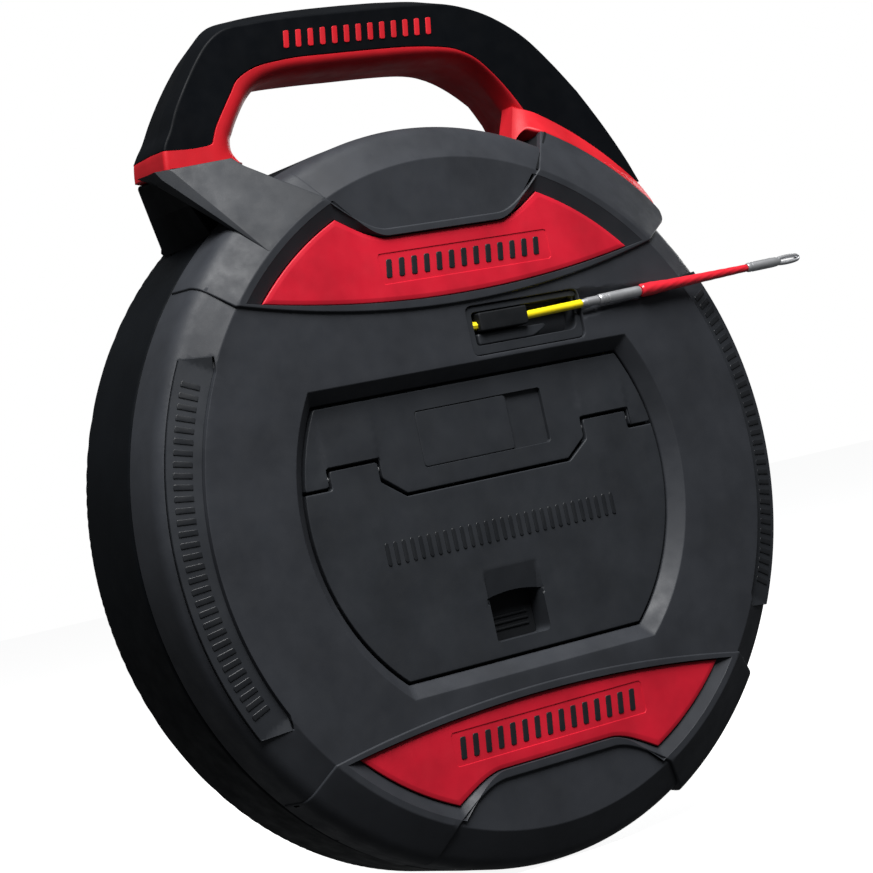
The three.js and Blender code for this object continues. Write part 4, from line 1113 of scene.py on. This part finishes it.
def lining_section(inner, rear_inner, nose, border, middle, rear_border, ramp):
    """The soft lining: rounded from its border in front, round the inner side, to the back.

    nose is where the front starts to curve. ramp is 1 where the lining closes round the whole leg.
    """
    front = bend(at_depth(nose + (inner - nose) * 0.03, LINING_D), at_depth(inner, LINING_D),
                 at_depth(inner, FRONT_D + 0.08), 12)
    heel = bend(at_depth(inner * 0.2 + rear_inner * 0.8, REAR_D - 0.07), at_depth(rear_inner, REAR_D),
                at_depth(rear_inner * 0.7 + rear_border * 0.3, REAR_D), 9)
    back_corner = rear_border + (rear_inner - rear_border) * 0.12 * ramp
    corners = [at_depth(border, LINING_D), *front, *heel, at_depth(back_corner, REAR_D),
               at_depth(rear_border, REAR_D - 0.004 - 0.016 * ramp), at_depth(middle, CREST_D)]
    corner_radius = 0.004 + 0.010 * ramp
    curved = [0] * (len(front) + len(heel))
    return section(corners, [corner_radius, *curved, corner_radius, 0.003 + 0.017 * ramp, 0.03])


def core_section(border, corner, upper, rear, rear_border):
    """The hard core: from its border with the lining, over its outer side, to the border at the back."""
    return section([at_depth(border, FRONT_D), at_depth(corner, FRONT_D), at_depth(upper, CREST_D),
                    at_depth(rear, REAR_D - 0.02), at_depth(rear * 0.7 + rear_border * 0.3, REAR_D),
                    at_depth(rear_border, REAR_D)], [0.003, 0.010, 0.03, 0.02, 0.012, 0.003])


def border_ramp(z):
    """How far the lining's border has swung out towards the ring, from 0 to 1."""
    t = np.clip((RING_TOP + 0.022 - z) / 0.022, 0, 1)
    return 1 - math.sqrt(max(0.0, 1 - t**2.2))


def handle():
    """The hard core with its right root, and the soft lining, lofted station by station."""
    lining, core = [], []
    left = stations(LEFT_LEG)[::-1] * [-1, 1]
    groove = 0.0022
    for inner, nose, corner, upper, rear in np.vstack([left, stations(RIGHT_LEG)[1:]]):
        ramp = border_ramp(nose[1]) if inner[0] < -0.4 else 0.0
        border = nose + (corner - nose) * ramp
        share = np.linalg.norm(border - inner) / np.linalg.norm(corner - inner)
        splay = SPLAY * np.clip((1.31 - inner[1]) / 0.12, 0, 1) if inner[0] > 0.3 else 0.0
        rear_inner = inner + (rear - inner) * splay
        rear_border = rear_inner + (rear - inner) * max(share * 0.9, 0.12)
        rear_border = rear_border + (rear - rear_border) * ramp
        middle = (border + rear_border) / 2
        middle = middle + (upper - middle) * ramp
        step = (corner - inner) / np.linalg.norm(corner - inner) * groove * (1 - ramp) * 0.5
        lining.append(lining_section(inner, rear_inner, nose - step, border - step, middle,
                                     rear_border - step, ramp))
        if ramp < 0.9:
            core.append(core_section(border + step, corner, upper, rear, rear_border + step))
    lean = (rear - inner) * SPLAY
    for inner, border in stations(RIGHT_FOOT, 6):
        rear_border = inner + lean + (border - inner) * 1.6
        middle = (border + rear_border) / 2
        lining.append(lining_section(inner, inner + lean, border, border, middle, rear_border, 0.0))
    bottom = lining[0]
    rounded = bottom + (bottom.mean(axis=0) - bottom) * 0.05
    lining[0] = bottom + [0, 0, 0.005]
    lining.insert(0, rounded)
    for inner, corner, rear_inner, rear in stations(FIN, 8):
        core.append(core_section(inner, corner, corner * 0.6 + rear * 0.4, rear, rear_inner))
    Body().loft(core).piece("handle_body", HANDLE, "handle_core", "handle_root_right", slot="black")
    Body().loft(lining).piece("handle_lining", RED_SOFT, "handle_grip", slot="soft_red")


def left_root():
    """The black root between the ring and the rim, hollowed behind the wedge."""
    front = np.array([(-0.50, 0.99), (-0.555, 1.086), (-0.765, 1.086), (-0.712, 0.985), (-0.655, 0.875)])
    rear = np.array([(-0.50, 0.99), (-0.555, 1.092), (-0.742, 1.092), (-0.722, 0.985), (-0.700, 0.872)])
    loops = []
    for depth, share, shrink in (
            (0.205, 0, 0.010), (0.210, 0, 0.0), (0.30, 0.4, 0.004), (0.37, 0.75, 0.003),
            (REAR_D - 0.016, 0.97, 0.0), (REAR_D - 0.004, 1, 0.005), (REAR_D, 1, 0.014)):
        loop = section(front * (1 - share) + rear * share, [0, 0.004, 0.012, 0.05, 0.004])
        loops.append(flat(depth)(inset(anticlockwise(loop), shrink)))
    Body().loft(loops).piece("handle_root_moulding", BLACK, "handle_root_left", slot="black")


def on_spoke(pairs, degrees):
    """Points from (radius, depth) pairs on the half plane through the axis at an angle."""
    pairs = np.array(pairs, float)
    x, z = polar(1.0, degrees)
    return np.stack([pairs[:, 0] * x, pairs[:, 1], pairs[:, 0] * z], 1)


STRIP_FROM, STRIP_TO = 67.0, 40.3                # angles of the strip's ends


def strip():
    """The soft strip between the cone and the fin: it flows out of the leg and ends in a point."""
    loops = []
    for degrees in np.linspace(STRIP_FROM, STRIP_TO, 90):
        grown = CONE.grown(math.radians(degrees))
        start = np.clip((degrees - CONE_TOP) / (STRIP_FROM - CONE_TOP), 0, 1)
        start = start * start * (3 - 2 * start)
        foot = 0.09 * np.clip((degrees - 64.9) / 2.1, 0, 1) ** 2
        low = CREASE + CONE_REACH * grown + 0.012 * start - foot
        low_d = CONE_DEEP * grown + 0.004 + 0.055 * start
        share = math.sqrt(np.clip((degrees - 40.2) / 3.0, 0.02, 1))
        high, high_d = low + (1.262 - 0.008 * start - low) * share, low_d + (0.178 - low_d) * share
        corners = [(low - 0.012, low_d + 0.05), (low, low_d), (high, high_d), (high, 0.235),
                   (low - 0.012, 0.235)]
        loops.append(on_spoke(filleted(corners, [0, 0.010, 0.008, 0, 0]), degrees))
    Body().loft(loops).piece("cone_strip", RED_SOFT, "grip_strip", slot="soft_red")


def cone_end_shadow():
    """A dark piece across the seam between the cone's upper end and the strip: painted shadow where the leg
    and strip above shade the cone's end wall.
    """
    corners = [(STRIP_FROM, 1.003, -0.003), (CONE_TOP + 0.22, 1.174, 0.096), (CONE_TOP + 0.2, 1.178, 0.112),
               (CONE_TOP + 0.2, 1.178, 0.200), (CONE_TOP + 2.5, 1.05, 0.200), (STRIP_FROM, 1.0, 0.05)]
    loops = [np.vstack([on_spoke([(r, d)], angle + shift) for angle, r, d in corners])
             for shift in (0.0, 0.35)]
    Body().loft(loops).piece("cone_end_painted_shadow", DARK, slot="black")


handle()
left_root()
strip()
cone_end_shadow()

# ------------------------------------------------------------------ bay: hinge panel, tile and lid
LID = flat(LID_D)
INSERT = BAY["bevel"] + SLIT
NOTCH = {"in": 0.375, "out": 0.56, "top": 0.16, "level": 0.1054}
TONGUE = {"half": 0.3, "bottom": 0.045, "shoulder": 0.1}
tile_low, tile_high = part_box("slide_button")
TILE = [(tile_low.x / R, (tile_low.z - AXIS_Z) / R), (tile_high.x / R, (tile_high.z - AXIS_Z) / R)]
POCKET = {"x0": TILE[0][0] - GAP, "x1": 0.249, "z0": TILE[0][1] - GAP, "z1": TILE[1][1] + GAP,
          "floor": mm(1.7)}
SCOOP = {"half": 0.1, "top": -0.225, "lip": -0.312, "bottom": -0.442, "bulge": 0.012, "deep": 0.020}
LID_WALL = mm(3)


def split_line(drop):
    """Right half of the line between the hinge panel and the lid, from the middle outwards.

    drop is how far it lies below the panel's own edge: nothing for the panel, the slit for the lid.
    """
    return [(0, TONGUE["bottom"] - drop), (TONGUE["half"] + drop * 0.5, TONGUE["bottom"] - drop),
            (NOTCH["in"] + drop, TONGUE["shoulder"] - drop), (NOTCH["in"] + drop, NOTCH["top"] - drop),
            (NOTCH["out"] - drop, NOTCH["top"] - drop), (NOTCH["out"] - drop, NOTCH["level"] - drop)]


def part_of_bay(drop, edge):
    """The outline of the hinge panel or the lid, from the split line to a level edge of the bay."""
    r = BAY["r"] - INSERT
    start, stop = (math.degrees(math.asin(value / r)) for value in (edge, NOTCH["level"] - drop))
    side = arc(r, start, stop)
    split = filleted([side[-1]] + split_line(drop)[::-1][:-1], 0.006, closed=False, steps=3)
    half = np.vstack([side, split])
    return looped(np.vstack([half, half[::-1] * [-1, 1]]), 0.008)


def hood_relief(points):
    """Faint steps that rise from the notches of the hinge panel to a bulge over each hinge."""
    x, z = np.abs(points[:, 0]), points[:, 1]
    across = np.clip((x - 0.372) / 0.006, 0, 1) * np.clip((0.566 - x) / 0.006, 0, 1)
    along = np.clip((0.300 - z) / 0.11, 0, 1)
    return 0.0055 * across * along


def hinge_panel():
    """The panel over the lid's hinges, with the pocket that the tile slides in."""
    pocket = rectangle(POCKET["x0"], POCKET["x1"], POCKET["z0"], POCKET["z1"], 0.006)
    walls = stepped(pocket, [(0, 0), (0.0006, -0.0007), (0.001, -0.0022), (0.001, -POCKET["floor"])])
    loop = part_of_bay(0, BAY["top"] - INSERT)
    edge = stepped(loop, [(0, -LID_WALL), *rounding(0, 0.0035, 3)])
    steps = [resampled([(side * x, 0.165), (side * x, 0.31)], 0.008)
             for side in (-1, 1) for x in (0.3705, 0.3795, 0.5585, 0.5675)]
    body = Body().cover(LID, edge, [walls], relief=hood_relief, creases=steps)
    body.area(LID, *walls[-1]).area(LID, loop, -LID_WALL, spacing=0.05)
    body.piece("hinge_panel_moulding", PANEL, "hinge_panel", slot="panel")


def tile():
    """The tile that slides in the hinge panel's pocket."""
    loop = rectangle(TILE[0][0], TILE[1][0], TILE[0][1], TILE[1][1], 0.007)
    body = Body().slab(flat(depth_of("slide_button")), loop, mm(1.2), 0.0032, spacing=0.03)
    body.piece("slide_tile", PANEL, "slide_button", carrier="slider", slot="panel")


def scoop_lip(x):
    """Height above the axis of the scoop's bowed lip, at x."""
    return SCOOP["lip"] + SCOOP["bulge"] * (1 - (x / SCOOP["half"]) ** 2)


def scoop_relief(points):
    """The finger scoop: a slope that deepens to its lip, with narrow flanks."""
    x, z = np.abs(points[:, 0]), points[:, 1]
    sunk = np.clip((SCOOP["top"] - z) / (SCOOP["top"] - SCOOP["lip"]), 0, 1) * SCOOP["deep"]
    flank = np.clip((SCOOP["half"] + 0.002 - x) / 0.007, 0, 1)
    return np.where(z > scoop_lip(x) - 0.02, -sunk * flank, 0.0)


def lid():
    """The lid with its finger scoop, the window under the scoop's lip and its hinge barrels."""
    half, low, high = SCOOP["half"], SCOOP["bottom"], SCOOP["lip"]
    corners = filleted([(-half, high), (-half, low), (half, low), (half, high)], [0, 0.012, 0.018, 0])
    lip_x = np.linspace(half, -half, 24)[1:-1]
    opening = looped(np.vstack([corners, np.stack([lip_x, scoop_lip(lip_x)], 1)]), 0.007)
    under_lip = scoop_relief(opening) * (opening[:, 1] > high - 0.006)
    walls = stepped(opening, [(0, under_lip), (-0.0008, under_lip - 0.0018), (0, under_lip - 0.006),
                              (0, -0.075), (-0.012, -0.075), (-0.012, -LID_WALL)])
    loop = part_of_bay(SLIT, BAY["bottom"] + INSERT)
    edge = stepped(loop, [(0, -LID_WALL), *rounding(0, 0.0035, 3)])
    flank_x = 0.0945
    flanks = [[(side * x, SCOOP["top"]), (side * x, high + 0.004)]
              for side in (-1, 1) for x in (flank_x, 0.1025)]
    top = [(-flank_x, SCOOP["top"]), (flank_x, SCOOP["top"])]
    body = Body().cover(LID, edge, [walls], bottom=0.05, relief=scoop_relief,
                        creases=[resampled(run, 0.007) for run in [*flanks, top]],
                        fine=[((-0.12, -0.33), (0.12, -0.21), 0.007)])
    for pin in ("hinge_pin_left", "hinge_pin_right"):
        body.loft(knuckle(pin))
    body.piece("lid_moulding", PANEL, "lid", carrier="lid", slot="panel")
    label = Body()
    for k in range(29):
        x = -0.42 + 0.03 * k
        bar(label, LID, rectangle(x, x + 0.013, -0.150, -0.083, 0.004, step=0.006), 0.0028)
    label.piece("lid_label_bars", MARK, carrier="lid", slot="panel")


def knuckle(pin):
    """The round barrel behind a notch, which turns on its hinge pin."""
    low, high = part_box(pin)
    middle = ((low.y + high.y) / 2 - FACE_Y) / R, ((low.z + high.z) / 2 - AXIS_Z) / R
    loops = []
    for share, radius in ((0.12, 0.010), (0.13, 0.0165), (0.14, 0.0175), (0.86, 0.0175), (0.87, 0.0165),
                          (0.88, 0.010)):
        ring = circle(radius, middle, 36)
        loops.append(np.insert(ring, 0, (low.x + (high.x - low.x) * share) / R, axis=1))
    return loops


def latch():
    """The latch's touch plate behind the scoop's window, with three ribs for the fingertip."""
    low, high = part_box("lid_latch")
    plate = flat(LID_D + mm(9.3))
    loop = rectangle(-0.097, 0.097, SCOOP["bottom"] - 0.008, SCOOP["lip"] + 0.012, 0.005)
    body = Body().slab(plate, loop, mm(2.2), 0.003)
    for k in range(3):
        z = SCOOP["bottom"] + 0.030 + 0.018 * k
        bar(body, plate, rectangle(-0.075, 0.075, z, z + 0.007, 0.002, step=0.006), 0.004)
    foot = rectangle(-0.037, 0.037, (low.z - AXIS_Z) / R, SCOOP["bottom"] - 0.006, 0.003)
    body.slab(flat(depth_of("lid_latch")), foot, high.y / R - low.y / R, 0.002)
    body.piece("latch_touch_plate", DARK, "lid_latch", carrier="latch", slot="black")


hinge_panel()
tile()
lid()
latch()


# ------------------------------------------------------------------ port: bezel, guide and clamp
def rod_trough(points):
    """Where the rod's trough leaves the port through the right end of its bezel."""
    x, z = points[:, 0], points[:, 1]
    return np.where(x > 0.40, -0.022 * np.clip(1 - ((z - over_rod(x)) / 0.03) ** 2, 0, 1), 0.0)


def port():
    """The bezel in the port's opening, with the recess that the guide and the clamp sit in."""
    outer = rectangle(PORT["x0"] + GAP, PORT["x1"] - GAP, PORT["z0"] + GAP, PORT["z1"] - GAP, 0.020)
    slot = looped(filleted([(0.034, 0.424), (0.418, 0.424), (0.424, 0.528), (0.034, 0.528)],
                           [0.012, 0.03, 0.012, 0.012]), 0.010)
    face = flat(depth_of("port_bezel") + 0.006)
    edge = stepped(outer, [(0, -0.035), *rounding(0, 0.003, 3)])
    walls = stepped(slot, [(0, 0), (0.001, -0.0012), (0.0025, -0.006), (0.003, -0.052)])
    body = Body().cover(face, edge, [walls], fine=[((0.30, 0.46), (0.44, 0.53), 0.006)], relief=rod_trough)
    body.area(face, *walls[-1], spacing=0.03).piece("port_bezel_moulding", PANEL, "port_bezel", slot="panel")


BLOCK_BACK = 0.056                               # depth of the blocks' backs


def block(name, node, x0, x1, z0, z1, sunk, radius, material, tapered=0.0):
    """A small moulded block with rounded corners, and a right end that may taper.

    sunk is how far its front lies behind the CAD node's.
    """
    corners = filleted([(x0, z0), (x1 - tapered, z0), (x1, z0 + (z1 - z0) * 0.6), (x1, z1), (x0, z1)],
                       [radius, radius * 3, radius * 2, radius, radius])
    front = depth_of(node) + sunk
    body = Body().slab(flat(front), looped(corners, 0.006), BLOCK_BACK - front, 0.005)
    body.piece(name, material, node, slot="black")


port()
block("guide_block", "rod_guide", 0.051, 0.232, 0.466, 0.522, 0, 0.004, DARK)
block("clamp_block", "rod_clamp", 0.045, 0.300, 0.427, 0.461, 0.004, 0.006, PANEL, 0.05)


# ------------------------------------------------------------------ plain bars in place of printed marks
def slanted_bars(name, depth, xs, width, low, high, material, slot):
    """A row of slanted bars that start at xs, as a plain stand-in for a printed mark."""
    body, slant = Body(), 0.010
    for x in xs:
        corners = [(x, low), (x + width, low), (x + width + slant, high), (x + slant, high)]
        bar(body, flat(depth), looped(filleted(corners, 0.003, steps=3), 0.006), 0.0025)
    body.piece(name, material, slot=slot)


PLATE_FIELD = PLATE_SUNK + 0.0022                # how far the plates' fields lie behind the CAD plates
slanted_bars("upper_plate_bars", depth_of("upper_plate") + PLATE_FIELD,
             [-0.236 + 0.0455 * k for k in range(13)], 0.020, 0.668, 0.722, MARK, "black")
slanted_bars("lower_plate_bars", depth_of("lower_plate") + PLATE_FIELD,
             [-0.338 + 0.0455 * k for k in range(15)], 0.020, -0.738, -0.674, MARK, "black")
slanted_bars("handle_bars", FRONT_D, [-0.30 + 0.0435 * k for k in range(13)], 0.019, 1.405, 1.458, RED_SOFT,
             "soft_red")

# ------------------------------------------------------------------ pieces that keep their CAD shape
KEPT = {
    "accessory_tray": DARK, "hinge_pin_left": STEEL, "hinge_pin_right": STEEL, "latch_keeper": DARK,
    "latch_spring": STEEL, "rod_lead": YELLOW, "rod_coil": YELLOW, "storage_cage": CAGE, "cage_lip": CAGE,
    "cage_bushing": BRONZE, "axle_post": CAGE, "axle_washer": STEEL, "handle_screw_1": DULL_STEEL,
    "handle_screw_2": DULL_STEEL, "handle_screw_3": DULL_STEEL, "handle_screw_4": DULL_STEEL,
}
for name, material in KEPT.items():
    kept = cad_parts[name]
    kept.data.materials.clear()
    kept.data.materials.append(material)

# ------------------------------------------------------------------ stage and light
def stage():
    """A plain pale floor under the case, and a white surround that lights the case only faintly."""
    mesh = bpy.data.meshes.new("floor")
    half = 6.0
    corners = [(-half, -half, 0), (half, -half, 0), (half, half, 0), (-half, half, 0)]
    mesh.from_pydata(corners, [], [(0, 1, 2, 3)])
    floor = bpy.data.objects.new("floor", mesh)
    scene.collection.objects.link(floor)
    material, _, shader = new_material("floor")
    for name, value in (("Base Color", (0.45, 0.45, 0.45, 1)), ("Roughness", 0.9),
                        ("Emission Color", (1, 1, 1, 1)), ("Emission Strength", 0.92)):
        shader.inputs[name].default_value = value
    mesh.materials.append(material)
    floor.visible_diffuse = False
    floor.visible_glossy = False
    world = bpy.data.worlds.new("studio")
    world.use_nodes = True
    tree = world.node_tree
    seen = tree.nodes["Background"]
    seen.inputs["Color"].default_value = (1, 1, 1, 1)
    seen.inputs["Strength"].default_value = 1.0
    ambient = new_node(tree, "Background", "Background", Color=(0.94, 0.97, 1.0, 1), Strength=0.08)
    either = tree.nodes.new("ShaderNodeMixShader")
    from_camera = tree.nodes.new("ShaderNodeLightPath").outputs["Is Camera Ray"]
    for socket, output in zip(either.inputs, (from_camera, ambient, seen.outputs["Background"])):
        tree.links.new(output, socket)
    tree.links.new(either.outputs["Shader"], tree.nodes["World Output"].inputs["Surface"])
    scene.world = world


def area_light(name, place, aim, size, power):
    """A square soft light at a place in face radii, turned towards a point of the reel."""
    data = bpy.data.lights.new(name, "AREA")
    data.size, data.energy = size * R, power
    light = bpy.data.objects.new(name, data)
    scene.collection.objects.link(light)
    light.location = metres(place)[0]
    towards = Vector(metres(aim)[0] - metres(place)[0])
    light.rotation_euler = towards.to_track_quat("-Z", "Y").to_euler()


stage()
scene.view_settings.view_transform = "Standard"
area_light("key_light", (-2.6, -5.3, 10.4), (0, 0, 0.1), 7.6, 57)
area_light("back_light", (7.6, 4.4, 1.6), (0, 0, 0), 3.0, 3.5)
